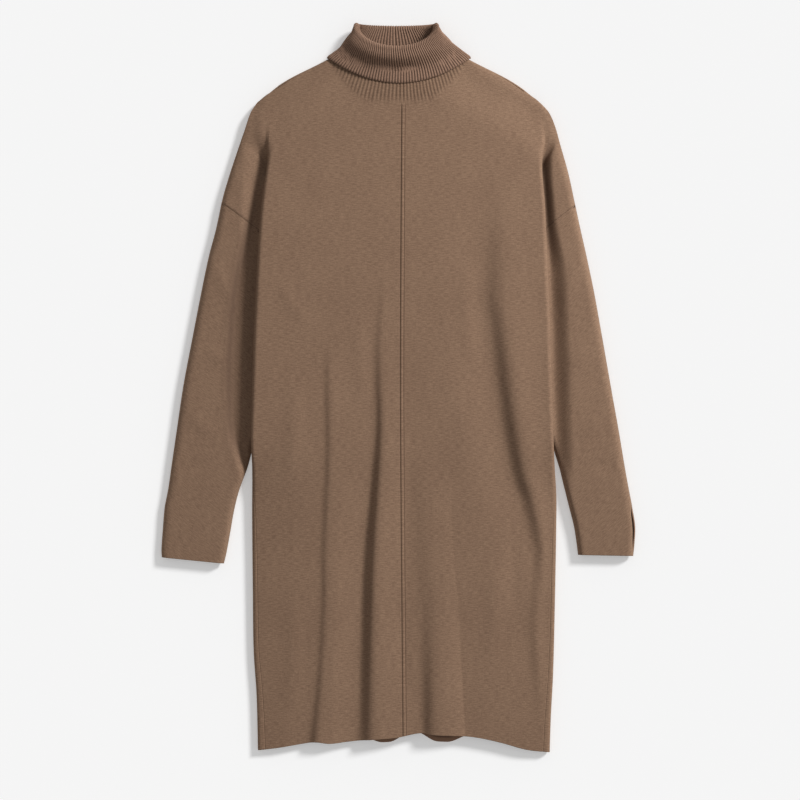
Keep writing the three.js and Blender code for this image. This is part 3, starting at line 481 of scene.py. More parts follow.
def yoke_relief(x, y, ribs, down):
    """Rise and painted shade of the yoke's ribs, a power of the cosine, and of the groove at the centre."""
    fade = ease((curve(YOKE_LENGTH, np.abs(x)) - down) / YOKE_FADE) * (ribs < YOKE_RIBS)
    ridge = np.abs(np.cos(math.pi * ribs)) ** RIDGE_POWER * fade
    joined = np.exp(-(((x - curve(CENTRE, y)) / SEAM_LINE_HALF) ** 2)) * ease((WELT_TOP - y) / WELT_FADE)
    return YOKE_RIB_HEIGHT * ridge - JOIN_DEPTH * joined, YOKE_SHADE * (fade - ridge) + JOIN_SHADE * joined


def welt_relief(x, y):
    """Rise and painted shade of the welt: it eases up and down again, and a bell sinks its line of stitches.
    """
    from_centre = np.abs(x - curve(CENTRE, y))
    below_yoke = ease((WELT_TOP - y) / WELT_FADE)
    stitched = np.exp(-(((from_centre - WELT_LINE) / SEAM_LINE_HALF) ** 2)) * below_yoke
    up = ease((from_centre - WELT_START) / WELT_RISE)
    down_again = ease((from_centre - WELT_WIDTH + WELT_FALL / 2) / WELT_FALL)
    return WELT_HEIGHT * up * (1 - down_again) * below_yoke - STITCH_DEPTH * stitched, STITCH_SHADE * stitched


def front_panel(side):
    """Rows run across, columns run down from the neck and shoulder and fan out under the neck.

    The first columns are six to a rib, and three times closer at the centre. A column's share of the
    way from the centre to the roll changes from its share at the top line to its share lower down
    with q times two less q.
    """
    sign = side["sign"]
    near_centre = np.linspace(0, FINE_COLUMNS / RIB_COLUMNS, 3 * FINE_COLUMNS + 1)[:-1]
    rib = np.concatenate([near_centre, np.arange(FINE_COLUMNS, YOKE_RIBS * RIB_COLUMNS + 1) / RIB_COLUMNS])
    out = np.linspace(0, 1, SHOULDER_COLUMNS + 1)[1:]
    centre_top = curve(CENTRE, NECK_SIDE_Y)
    neck_x = mix(centre_top, NECK_MIDDLE + sign * NECK_HALF, rib / YOKE_RIBS)
    fold_rows = upper_fold_rows(side, YOKE_STEPS)
    fold_x = sign * edge_at(side, fold_rows[:1])[0][0]
    out_x = mix(neck_x[-1], fold_x, out)
    bow = shoulder_bow(side, out_x) - shoulder_bow(side, fold_x) * out
    top_y = np.concatenate([
        top_line(side, neck_x, FRONT_NECK_DROP), mix(NECK_SIDE_Y, fold_rows[0], out) + bow,
    ])
    top_x = np.concatenate([neck_x, out_x])
    end_x = sign * edge_at(side, PLAIN_FROM)[0]
    width = end_x - curve(CENTRE, PLAIN_FROM)
    top_share = (top_x - curve(CENTRE, top_y)) / (sign * edge_at(side, top_y)[0] - curve(CENTRE, top_y))
    top_share[-1] = 1
    lean = YOKE_LEAN * (neck_x - centre_top)
    neck_share = top_share[: len(rib)] + lean * (top_y[: len(rib)] - PLAIN_FROM) / (2 * width)
    low_share = np.concatenate([neck_share, mix(neck_share[-1], 1, out)])
    q = YOKE_STEPS[:, None]
    y_top = mix(top_y, PLAIN_FROM, q)
    share = mix(top_share, low_share, q * (2 - q))
    share_low = np.broadcast_to(low_share, (len(ARM_ROWS) + len(BODY_ROWS), len(low_share)))
    y_low = np.broadcast_to(np.concatenate([ARM_ROWS, BODY_ROWS])[:, None], share_low.shape)
    share = np.concatenate([share, share_low])
    y = np.concatenate([y_top, y_low])
    past = seam_past(side, y)
    before = np.minimum(0, past - SEAM_APPROACH) * ease((UNDERARM_Y - y) / SEAM_APPROACH_RUN)
    x = mix(curve(CENTRE, y), sign * (edge_at(side, y)[0] + before), share)
    plain = place(x, y, front_level(side, x, y))
    ribs = np.concatenate([rib, YOKE_RIBS + 0 * out])
    down = np.hypot(x - top_x, y - top_y)
    rise, shade = yoke_relief(x, y, ribs, down)
    plain[..., 2] += rise + creases(CREASES, x, y)
    if sign > 0:
        rise, stitches = welt_relief(x, y)
        plain[..., 2] += rise
        shade = shade + stitches
    fold_y = y[:, -1:]
    turns = np.linspace(0, 1, ROLL_COLUMNS + 1)[1:]
    rolled = fold_over_arm(side, fold_y, turns / 2, 0, 0)
    on_edge = edge_section(side, fold_y, mix(before[:, -1:], past[:, -1:], turns))
    roll = np.where(fold_y[..., None] >= UNDERARM_Y, rolled, on_edge)
    whole = np.concatenate([plain, roll], axis=1)
    painted_shade = np.concatenate([shade, 0 * roll[..., 0]], axis=1)
    return to_hem(whole, np.concatenate([y, np.repeat(fold_y, len(turns), 1)], axis=1), hem_y), painted_shade


def front_cap(side):
    """The part that turns under the edge and comes out as the cap, on the upper rows of the panel.

    Its last rows sink into the armhole seam under a painted shade, and past the root the cap carries
    the painted shadow beside the body.
    """
    fold_y = np.concatenate([upper_fold_rows(side, YOKE_STEPS), ARM_ROWS])[:, None]
    cap = np.concatenate([
        fold_over_arm(side, fold_y, np.linspace(0.5, 1, ROLL_COLUMNS + 1), 0, 0),
        fold_over_arm(side, fold_y, 1, np.linspace(0, 1, ROLL_COLUMNS + 1)[1:], 0),
        fold_over_arm(side, fold_y, 1, 1, np.linspace(0, 1, 5)[1:]),
        cap_point(side, fold_y, np.linspace(0, 1, CAP_COLUMNS + 1)[1:] ** CAP_CROWDING),
    ], axis=1)
    shade = np.zeros(cap.shape[:2])
    shade[-SEAM_ROWS:, -CAP_COLUMNS:] = SEAM_SHADE[:, None]
    cap[..., 2] -= SEAM_DEPTH * shade
    shade[:, -CAP_COLUMNS:] = np.maximum(shade, painted_flank_shadow(side, cap))[:, -CAP_COLUMNS:]
    return cap, shade


# Small creases placed one by one: both ends in plan, how far the line bows, its half-width and rise.
CREASES = [
    ((-150, 205), (-90, 260), 6, 9, 1.0),
    ((-170, 160), (-120, 90), -8, 10, 0.9),
    ((-150, 20), (-160, -160), 6, 12, 1.1),
    ((-60, 120), (-52, -40), 4, 11, 0.9),
    ((100, 190), (112, 20), -6, 12, 1.1),
    ((140, -230), (132, -420), 5, 13, 1.2),
    ((175, -200), (172, -330), -5, 10, -0.9),
    ((-150, -300), (-156, -470), 5, 13, 1.1),
    ((10, -300), (16, -470), -4, 9, -1.0),
]


def one_crease(x, y, start, end, bow, half, rise):
    """A bell across a bowed line from start to end, with a half sine wave along it."""
    run = (end[0] - start[0], end[1] - start[1])
    length = math.hypot(*run)
    along = ((x - start[0]) * run[0] + (y - start[1]) * run[1]) / length**2
    across = ((y - start[1]) * run[0] - (x - start[0]) * run[1]) / length
    across = across - 4 * bow * along * (1 - along)
    return rise * np.exp(-((across / half) ** 2)) * np.sin(math.pi * np.clip(along, 0, 1))


def creases(rows, x, y):
    """The sum of all the small creases in the rows."""
    return sum(one_crease(x, y, *crease) for crease in rows)


MERGED_WITHIN = 0.02


def lengths_over(points):
    """Length of cloth from the first column along each row, and from the first row down each column."""
    across = np.linalg.norm(np.diff(points, axis=1), axis=-1)
    down = np.linalg.norm(np.diff(points, axis=0), axis=-1)
    across = np.concatenate([np.zeros((len(points), 1)), np.cumsum(across, 1)], 1)
    down = np.concatenate([np.zeros((1, points.shape[1])), np.cumsum(down, 0)], 0)
    return across, down


def cloth_piece(name, sheets, materials, wall=CLOTH, upright=False):
    """One mesh from grids of points, with the rows and columns that they share merged.

    Each grid comes with its painted shade and whether its faces turn over. The attribute cloth holds
    the lengths over it in millimetres and the painted shade, which is below 0 where light is painted on
    the reverse. On an upright piece the courses stay level: the length down is less Y. A second
    material is for the reverse of the cloth.
    """
    points = []
    quads = []
    cloth = []
    count = 0
    for grid, painted_shade, turned in sheets:
        rows, columns = painted_shade.shape
        number = count + np.arange(rows * columns).reshape(rows, columns)
        corners = [number[:-1, :-1], number[1:, :-1], number[1:, 1:], number[:-1, 1:]]
        quads.append(np.stack(corners[::-1] if turned else corners, -1).reshape(-1, 4))
        points.append(grid.reshape(-1, 3))
        across, down = lengths_over(grid)
        cloth.append(place(across, -grid[..., 1] if upright else down, painted_shade).reshape(-1, 3))
        count += rows * columns
    mesh = bpy.data.meshes.new(name)
    places = (np.concatenate(points) - PLAN_MIDDLE) * MM
    mesh.from_pydata(places.tolist(), [], np.concatenate(quads).tolist())
    mesh.attributes.new("cloth", "FLOAT_VECTOR", "POINT")
    mesh.attributes["cloth"].data.foreach_set("vector", np.concatenate(cloth).ravel())
    joined = bmesh.new()
    joined.from_mesh(mesh)
    bmesh.ops.remove_doubles(joined, verts=joined.verts, dist=MERGED_WITHIN * MM)
    joined.to_mesh(mesh)
    joined.free()
    mesh.shade_smooth()
    piece = bpy.data.objects.new(name, mesh)
    bpy.context.collection.objects.link(piece)
    for material in materials:
        mesh.materials.append(material)
    if wall:
        thick = piece.modifiers.new("wall", "SOLIDIFY")
        thick.thickness = wall * MM
        thick.offset = -1
        thick.material_offset = len(materials) - 1
    return piece


class Yarn:
    """One value in a material, which Python's own operators add, take away, multiply and divide."""

    def __init__(self, tree, socket=None):
        self.tree = tree
        self.socket = socket

    def node(self, kind, settings, sockets, output=0):
        """Adds a node of a type: first its settings, then the values or links of its sockets."""
        node = self.tree.nodes.new(kind)
        for name, value in settings.items():
            setattr(node, name, value)
        for name, value in sockets.items():
            if isinstance(value, Yarn):
                self.tree.links.new(value.socket, node.inputs[name])
            else:
                node.inputs[name].default_value = value
        return Yarn(self.tree, node.outputs[output])

    def math(self, operation, *values):
        """One step of arithmetic on the values."""
        return self.node("ShaderNodeMath", {"operation": operation}, dict(enumerate(values)))

    def __add__(self, other):
        """This value plus the other."""
        return self.math("ADD", self, other)

    def __sub__(self, other):
        """This value less the other."""
        return self.math("SUBTRACT", self, other)

    def __mul__(self, other):
        """This value times the other."""
        return self.math("MULTIPLY", self, other)

    def __truediv__(self, other):
        """This value divided by the other."""
        return self.math("DIVIDE", self, other)


def linear(red, green, blue):
    """A screen colour of 0 to 255 a channel as the linear colour that a shader takes."""
    shares = np.array([red, green, blue]) / 255
    curved = ((shares + 0.055) / 1.055) ** 2.4
    return (*np.where(shares > 0.04, curved, shares / 12.92), 1.0)


# How the yarn's colour drifts: the size of a spot across and down in millimetres and its place in
# the noise, then how strong each is.
STREAKS = (8.0, 1.2, 0.0)
FLECKS = (2.2, 1.5, 7.0)
CLOUDS = (55.0, 75.0, 13.0)
STREAK_TONE = 2.7
FLECK_TONE = 1.7
CLOUD_TONE = 0.5
STREAK_RELIEF = 0.5
STITCH_LEAN = 1.1
LOOP_SHARE = 0.3
WALE_SHARE = 0.6
WOOLLY = {"Roughness": 0.92, "Specular IOR Level": 0.15, "Sheen Weight": 0.25, "Sheen Roughness": 0.5}


def knit(name, plain, light, painted_shading_tone, wale, course, stitch_height, shade_sign=1):
    """Fine knit on the lengths in cloth.

    Stitches are small V's: a wave down the course, drawn back beside the middle of each wale. The
    yarn's colour drifts in short streaks along the courses, and goes over to the third tone with the
    painted shade in cloth times the shade's sign, which is -1 on the reverse. The third tone is painted
    shade on the face and painted light on the reverse.
    """
    material = bpy.data.materials.new(name)
    material.use_nodes = True
    tree = material.node_tree
    start = Yarn(tree)
    cloth = start.node("ShaderNodeAttribute", {"attribute_name": "cloth"}, {}, "Vector")
    split = start.node("ShaderNodeSeparateXYZ", {}, {"Vector": cloth})
    across, down, painted_shade = (Yarn(tree, socket) for socket in split.socket.node.outputs)
    from_wale = start.math("PINGPONG", across / wale, 0.5)
    loop = start.math("SINE", (down / course + from_wale * STITCH_LEAN) * (2 * math.pi))
    bulge = start.math("SINE", from_wale * (2 * math.pi))
    stitches = loop * LOOP_SHARE + bulge * WALE_SHARE

    def drift(across_size, down_size, offset):
        """Smooth noise from 0 to 1 over spots of a size."""
        spot = {"X": across / across_size, "Y": down / down_size, "Z": offset}
        sockets = {"Vector": start.node("ShaderNodeCombineXYZ", {}, spot), "Scale": 1.0, "Detail": 2.0}
        return start.node("ShaderNodeTexNoise", {}, sockets)

    streaks = drift(*STREAKS)
    flecks = drift(*FLECKS)
    clouds = drift(*CLOUDS)
    lightness = (streaks - 0.5) * STREAK_TONE + (flecks - 0.5) * FLECK_TONE
    lightness = lightness + (clouds - 0.5) * CLOUD_TONE + 0.5
    colours = {"data_type": "RGBA"}
    tone = start.node("ShaderNodeMix", colours, {0: lightness, 6: plain, 7: light}, 2)
    tone = start.node("ShaderNodeMix", colours, {0: painted_shade * shade_sign, 6: tone, 7: painted_shading_tone}, 2)
    height = stitches * stitch_height + streaks * (STREAK_RELIEF * stitch_height)
    relief = start.node("ShaderNodeBump", {}, {"Height": height, "Distance": MM, "Strength": 1.0})
    shader = tree.nodes["Principled BSDF"]
    tree.links.new(tone.socket, shader.inputs["Base Color"])
    tree.links.new(relief.socket, shader.inputs["Normal"])
    for socket, value in WOOLLY.items():
        shader.inputs[socket].default_value = value
    shader.inputs["Sheen Tint"].default_value = linear(190, 160, 135)
    return material


# Wale, course and stitch height in millimetres.
JERSEY = (1.25, 0.95, 0.16)
# The jersey's third colour is painted shade.
jersey = knit("brown_jersey", linear(122, 96, 78), linear(147, 119, 97), linear(60, 44, 36), *JERSEY)
# The reverse is the cloth's inner face: its own two colours are darkened as painted shade for the inside of
# the dress, and its third colour is painted light.
reverse = knit("jersey_reverse_painted_shade", linear(62, 47, 39), linear(80, 61, 50), linear(165, 128, 105), *JERSEY, -1)
for side in (RIGHT, LEFT):
    panel, painted_shade = front_panel(side)
    cap, cap_shade = front_cap(side)
    turned = side["sign"] > 0
    sheets = [(panel, painted_shade, not turned), (cap, cap_shade, not turned)]
    front = cloth_piece("front_panel_" + side["name"], sheets, [jersey, reverse], upright=True)
    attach(front, "root")
    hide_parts("front_" + side["name"])


# Back: one panel of the same jersey, the length of the front. It lies on the floor, steps up onto
# the sleeves at both sides and rolls up round the body's edge to meet the front at the side seams.

BACK_NECK_DROP = 1.0
BACK_NECK_LEVEL = 3.2
STEP_RUN = 15.0
STEP_INSET = 18.0
STEP_CLEAR = 6.0
ROOT_BLEND = 60.0
BACK_NECK_SLOPE = 16.0
FALL_CLEAR = 0.8
FALL_END_FADE = 8.0
FALL_EDGE = {"x": 2.8, "half": 104.6, "back": 470.0, "top": 22.4}
BACK_HEM_HIDDEN = 3.0
BACK_HEM_MEETS = 190.0
HEM_FADE = 25.0
BACK_HEM_DIPS = [(-16, 34, 10), (66, 46, 14)]
DIP_ROUND = 1.15
BACK_COLUMNS = 60
BACK_CROWDED_OUT = 1.3
UNDER_CROWDED_OUT = 1.5
SLEEVE_INNER = {
    "right": [
        (200, 160), (168, 160), (130, 161), (85, 166), (35, 174), (-15, 187), (-62, 203), (-112, 215.5),
        (-147, 228), (-176, 235.5), (-207, 241), (-237, 246.5), (-254, 250.5),
    ],
    "left": [
        (200, 178), (168, 176), (130, 176), (88, 180), (35, 188), (-15, 201), (-65, 219), (-112, 234),
        (-142, 241.5), (-172, 249), (-200, 256), (-225, 260), (-241.5, 262),
    ],
}


def back_hem_y(x):
    """Y of the back hem: hidden behind the front hem but for two dips."""
    y = hem_y(x) + BACK_HEM_HIDDEN * ease((BACK_HEM_MEETS - np.abs(x)) / HEM_FADE)
    for middle, half, depth in BACK_HEM_DIPS:
        y = y - depth * ease(DIP_ROUND * (1 - np.abs(x - middle) / half))
    return y


def lifted_by_fall(x, y):
    """Height of the back's neck edge, which lies on the collar's fall: an oval's underside and a wall."""
    across = np.clip(np.abs(x - FALL_EDGE["x"]) / FALL_EDGE["half"], 0, 1)
    underside = FALL_EDGE["top"] / 2 * (1 - (1 - across**2) ** (OVAL_SQUARENESS / 2))
    lift = np.minimum(underside + CLOTH + FALL_CLEAR, NECK_SEAM_LEVEL)
    near = 1 - ease((FALL_EDGE["back"] - FALL_CLEAR - y) / BACK_NECK_SLOPE)
    return lift * near * ease((1 - across) * FALL_END_FADE)


def back_level(side, x, y):
    """Height of the back, flat on the floor but for its top line."""
    steep = 1 / math.hypot(1, shoulder_slope(side))
    near = quarter((top_line(side, x, BACK_NECK_DROP) - y) * steep / SHOULDER_ROUND)
    return np.maximum(top_level(x, BACK_NECK_LEVEL) * (1 - near), lifted_by_fall(x, y))


def arm_root(side, y):
    """The arm's inside line: the fold's end above the underarm, the sleeve's inner edge below it."""
    upper = np.abs(fold_over_arm(side, np.maximum(y, UNDERARM_Y), 1, 1, 1)[..., 0])
    lower = mix(upper, curve(SLEEVE_INNER[side["name"]], y), ease((UNDERARM_Y - y) / ROOT_BLEND))
    lower = np.minimum(lower, edge_at(side, y)[0] - STEP_CLEAR)
    return np.where(y >= UNDERARM_Y, upper, lower)


def arm_underside(side, root, out, share):
    """A point of the arm's underside, flat on the floor and turned up to the seam at the outline."""
    p = mix(root, out, share)
    to_outline = np.hypot(out[..., 0] - p[..., 0], out[..., 1] - p[..., 1])
    turned_up = SEAM_LEVEL * (1 - quarter(to_outline / CUFF_ROUND))
    shoulder = np.where(p[..., 1] > CAP_START_Y, back_level(side, p[..., 0], p[..., 1]), 0)
    p[..., 2] = np.maximum(turned_up, shoulder)
    return np.where(share >= 1, out, p)


def back_core(side):
    """The flat middle of the back, from the centre out to where it steps up onto the sleeve."""
    fold_y = np.concatenate([upper_fold_rows(side, YOKE_STEPS), ARM_ROWS, BODY_ROWS])[:, None]
    outer = side["sign"] * (arm_root(side, fold_y) - STEP_INSET)
    share = 1 - (1 - np.linspace(0, 1, BACK_COLUMNS + 1)) ** BACK_CROWDED_OUT
    x = mix(NECK_MIDDLE, outer, share)
    q = np.concatenate([YOKE_STEPS, 1 + 0 * ARM_ROWS, 1 + 0 * BODY_ROWS])[:, None]
    y = np.where(q < 1, mix(top_line(side, x, BACK_NECK_DROP), PLAIN_FROM, q), fold_y)
    return to_hem(place(x, y, back_level(side, x, y)), np.broadcast_to(y, x.shape), back_hem_y)


def back_cap(side):
    """The back of the shoulder and the arm's cap, on the rows of the front's cap."""
    fold_y = np.concatenate([upper_fold_rows(side, YOKE_STEPS), ARM_ROWS])[:, None]
    root = cap_point(side, fold_y, np.zeros(1))
    out = cap_point(side, fold_y, np.ones(1))
    inner = back_core(side)[: len(fold_y), -1:]
    share = np.linspace(0, 1, CAP_COLUMNS + 1)[None, :, None]
    under = arm_underside(side, root, out, 1 - (1 - share) ** UNDER_CROWDED_OUT)
    return np.concatenate([inner, under], axis=1)


def back_edge(side):
    """The step up onto the sleeve, the run out to the body's edge, and the roll up to the side seam."""
    y = np.concatenate([[UNDERARM_Y], BODY_ROWS])[:, None]
    start, _, radius, under, _, _ = edge_at(side, y)
    inner = arm_root(side, y) - STEP_INSET
    step = np.linspace(0, 1, 12)
    stepped = place(side["sign"] * (inner + STEP_RUN * step), y, under * ease(step))
    run = np.linspace(0, 1, 6)[1:-1]
    flat = place(side["sign"] * mix(inner + STEP_RUN, start, run), y, under)
    past = mix(radius * math.pi, seam_past(side, y), np.linspace(0, 1, 16))
    whole = np.concatenate([stepped, flat, edge_section(side, y, past)], axis=1)
    return to_hem(whole, np.broadcast_to(y, whole.shape[:2]), back_hem_y)


# A painted shade below 0 leaves the right side as it is and paints light on the reverse, for the lip of
# a turned hem, which lies in the front's shadow.
LIP_PAINTED_LIGHT = -1.0
HEM_ROWS = 3
sheets = []
for side in (RIGHT, LEFT):
    grids = (back_core(side), back_cap(side), back_edge(side))
    core_shade, cap_shade, edge_shade = (np.zeros(grid.shape[:2]) for grid in grids)
    # Painted light on the reverse at the hem's lip, painted shade along the armhole seam.
    core_shade[-HEM_ROWS:] = LIP_PAINTED_LIGHT
    cap_shade[-SEAM_ROWS:, -CAP_COLUMNS:] = SEAM_SHADE[:, None]
    edge_shade[-HEM_ROWS:] = LIP_PAINTED_LIGHT
    for grid, shade in zip(grids, (core_shade, cap_shade, edge_shade)):
        sheets.append((grid, shade, side["sign"] > 0))
back = cloth_piece("back_panel", sheets, [jersey, reverse], upright=True)
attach(back, "root")
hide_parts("back")


# Sleeves: two tubes of jersey, sewn to the caps at the dropped armholes and brought down along the
# sides. A seam runs down the outline of each to a slit at the cuff.

SLEEVE_OUTLINE = {
    "right": [
        (254, 268), (262, 230), (273, 188), (285, 130), (297, 68), (309, 5), (319, -62), (326, -110),
        (331, -145), (336.5, -174), (339, -204), (341, -232), (340.5, -245),
    ],
    "left": [
        (258, 265), (266, 228), (275, 188), (286, 135), (298, 68), (311, -6), (321, -62), (329, -110),
        (334, -138), (340.5, -172), (345, -200), (344, -225), (342, -243),
    ],
}
LAST_SLEEVE_RING = 12
ARMHOLE_CELL = 0.012
CUFF_LIP = 11.94
TOP_CROWDED_IN = 0.9
UNDER_LIP = 0.985
SLIT_OPEN = {"right": 0.6, "left": 4.6}
SLIT_RING = 9.0
SLIT_LEAN = 0.6
SLIT_BLUNT = 0.8
SLIT_REACH = 2.5
SLIT_LIFT = 0.5
SLIT_CURL = 0.4
INNER_ROUND = 5.0
INNER_LOW = 0.5
TUCK_END = -120.0
TUCK_FADE = 50.0
ARM_CREASES = [
    ((262, 190), (238, 120), 3, 8, 1.0),
    ((280, 60), (248, 30), -3, 9, 0.9),
    ((300, -30), (262, -70), 4, 9, 0.9),
    ((318, -120), (276, -110), -3, 8, -0.7),
]


def sleeve(side):
    """Rings round the arm: from the outline over the top to the inner edge, and back underneath.

    Along the slit half a sine wave, fuller near its top, draws the upper edge back, and both lips part.
    """
    seam_rings = ARMHOLE_CELL * np.arange(SEAM_ROWS)
    ring = np.concatenate([seam_rings, np.linspace(0, CUFF_LIP, 120)[1:], [LAST_SLEEVE_RING]])[:, None]
    sign = side["sign"]
    steps = np.arange(LAST_SLEEVE_RING + 1)
    out_x, out_y = (curve(list(zip(steps, v)), ring) for v in zip(*SLEEVE_OUTLINE[side["name"]]))
    in_y, in_x = (curve(list(zip(steps, v)), ring) for v in zip(*SLEEVE_INNER[side["name"]]))
    out = place(sign * out_x, out_y, SEAM_LEVEL)
    inner = place(sign * in_x, in_y, 0)
    width = np.linalg.norm((out - inner)[..., :2], axis=-1)
    root = mix(inner, out, (INNER_ROUND / width)[..., None])
    root[..., 2] = 0
    tucked = ease((in_y - TUCK_END) / TUCK_FADE)
    low = mix(curve(ARM_LEVEL, in_y), curve(UNDER_LEVEL, in_y) - 2 * FOLD_HOLLOW, tucked)
    share = np.linspace(1, 0, 46) ** TOP_CROWDED_IN
    over = mix(root, out, share[None, :, None])
    to_outline = np.hypot(*(out - over)[..., :2].transpose(2, 0, 1))
    to_inner = np.hypot(*(inner - over)[..., :2].transpose(2, 0, 1))
    level = arm_level(side, over, to_outline, low, curve(side["edge"], over[..., 1]) - EDGE_COVER)
    over[..., 2] = level * mix(INNER_LOW, 1, quarter(to_inner / (2 * INNER_ROUND)))
    over[:, 0] = out[:, 0]
    armhole = cap_point(side, np.full((1, 1), UNDERARM_Y), share)
    over = mix(armhole, over, ease(ring)[..., None])
    root = over[:, -1:]
    brink = root + 0
    brink[..., :2] += (inner - out)[..., :2] * (INNER_ROUND / width)[..., None]
    brink[..., 2] = root[..., 2] / 2
    under_share = np.append(np.linspace(0, UNDER_LIP, 24), 1)
    under = arm_underside(side, root, out, under_share[None, :, None])
    over[..., 2] += creases(ARM_CREASES, np.abs(over[..., 0]), over[..., 1])
    over[:SEAM_ROWS, :, 2] -= SEAM_DEPTH * SEAM_SHADE[::-1, None] * (share < 1)
    tube = np.concatenate([over, brink, under], axis=1)
    down = np.clip((ring[:, 0] - SLIT_RING) / (LAST_SLEEVE_RING - SLIT_RING), 0, 1)
    gape = SLIT_OPEN[side["name"]] * np.sin(math.pi * down**SLIT_LEAN) ** SLIT_BLUNT
    near = np.exp(-np.arange(over.shape[1]) / SLIT_REACH)
    tube[:, : len(near), 0] -= sign * gape[:, None] * near
    lifted = np.where(down > 0, SLIT_LIFT + SLIT_CURL * gape, 0)
    tube[:, 0, 2] += lifted
    tube[:, -1, 2] -= lifted
    # Painted shadow beside the body, painted shade along the armhole seam and painted light on the reverse at
    # the lower lip.
    shade = np.zeros(tube.shape[:2])
    shade[:, : over.shape[1]] = painted_flank_shadow(side, over)
    shade[:SEAM_ROWS] = np.maximum(shade[:SEAM_ROWS], SEAM_SHADE[::-1, None])
    shade[:, -1] = LIP_PAINTED_LIGHT
    return tube, shade


for side in (RIGHT, LEFT):
    tube, shade = sleeve(side)
    piece = cloth_piece("arm_" + side["name"], [(tube, shade, side["sign"] > 0)], [jersey, reverse])
    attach(piece, "root")
    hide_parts("sleeve_" + side["name"])


# Collar: a tube of one-by-one rib sewn to the neck, turned over outward and pressed flat. Its stand
# goes up inside, rolls over the rim, and its fall comes down over the shoulders.

# Rings: neck seam, stand, inside of the rim, outside of the rim, upper fall, lower fall, lower edge.
# Each has its middle, half width, the Y of its sides, front and back, its top and bottom heights and
# how much its ends are rounded.
STAND = [
    (0, (2, 88.5, 481, 450, 481.5, 16.2, 5.4, 1)),
    (1, (0.5, 72, 503, 468, 501, 20.5, 5.4, 1)),
    (2, (-1, 54, 521.5, 486.5, 519.5, 24.5, 5.4, 1)),
]
FALL = [
    (3, (-1, 61, 521.5, 486.5, 518.5, 33.5, 0, 1)),
    (4, (0.5, 69, 506.5, 474, 505, 32.8, 0, 1.3)),
    (5, (3, 86, 491, 458, 487, 22.4, 0, 1.7)),
    (6, (2.8, 104.6, 477.5, 439.4, 470, 21, 0, 2)),
]
RIM_RING = 2
FALL_RING = 3
LAST_RING = 6
RIM_REACH = 5.0
COLLAR_RIBS = 112
RIB_HEIGHT = 1.0
# COLLAR_SHADE and INSIDE_SHADE are painted shade in the hollows of the ribs, outside and inside.
COLLAR_SHADE = 0.8
INSIDE_SHADE = 0.65
MEAN_RING = 4.5
ANGLE_STEP = 1e-3
EDGE_FOLD = 0.2
EDGE_RIB_LOSS = 0.7
EDGE_TURNED_IN = 0.8
EDGE_WALL = 0.6
BACK_SEAM_OFF = 0.05
BACK_SEAM_HALF = 0.012
BACK_SEAM_DEPTH = 0.6
RIB_CROWDING = [(0, 0.16), (2, 0.2), (3, 0.14), (4, 0.13), (5, 0.06), (6, 0)]
BACK_CROWDING = [(0, 0.2), (1, 0.3), (3.5, 0.3), (6, 0.05)]
FALL_SQUARENESS = [(4, 0.55), (6, 0.9)]
SAG_DEPTH = 3.4
SAG_RING = 4.75
SAG_RINGS = 0.45
SAG_ACROSS = 0.42


def ring_values(down):
    """The eight values of a ring: smooth along the stand and the fall, a half wave over the rim."""
    values = []
    for k in range(8):
        stand = curve([(ring, row[k]) for ring, row in STAND], down)
        fall = curve([(ring, row[k]) for ring, row in FALL], down)
        rolled = (1 - np.cos(math.pi * np.clip(down - RIM_RING, 0, 1))) / 2
        values.append(mix(stand, fall, rolled))
    return values


def collar_face(angle, down):
    """A place on the collar: an angle round the neck, zero at the front, and rings down.

    In plan a ring is half a width times the sine across, and mixes from its side to its front or
    back end with a power of the cosine. Its height is a squared oval, less a bell where the fall sags
    below the rim at the front.
    """
    middle, half, side_y, front_y, back_y, top, bottom, bow = ring_values(down)
    reach = RIM_REACH * np.sin(math.pi * np.clip(down - RIM_RING, 0, 1))
    c = np.cos(angle)
    y = mix(side_y, np.where(c >= 0, front_y, back_y), np.abs(c) ** bow) + reach
    z = (top + bottom) / 2 + (top - bottom) / 2 * np.sign(c) * np.abs(c) ** curve(FALL_SQUARENESS, down)
    sag = np.exp(-(((down - SAG_RING) / SAG_RINGS) ** 2) - (np.sin(angle) / SAG_ACROSS) ** 2)
    z = z - np.where(c > 0, SAG_DEPTH * sag, 0)
    return place(middle + half * np.sin(angle), y, z)


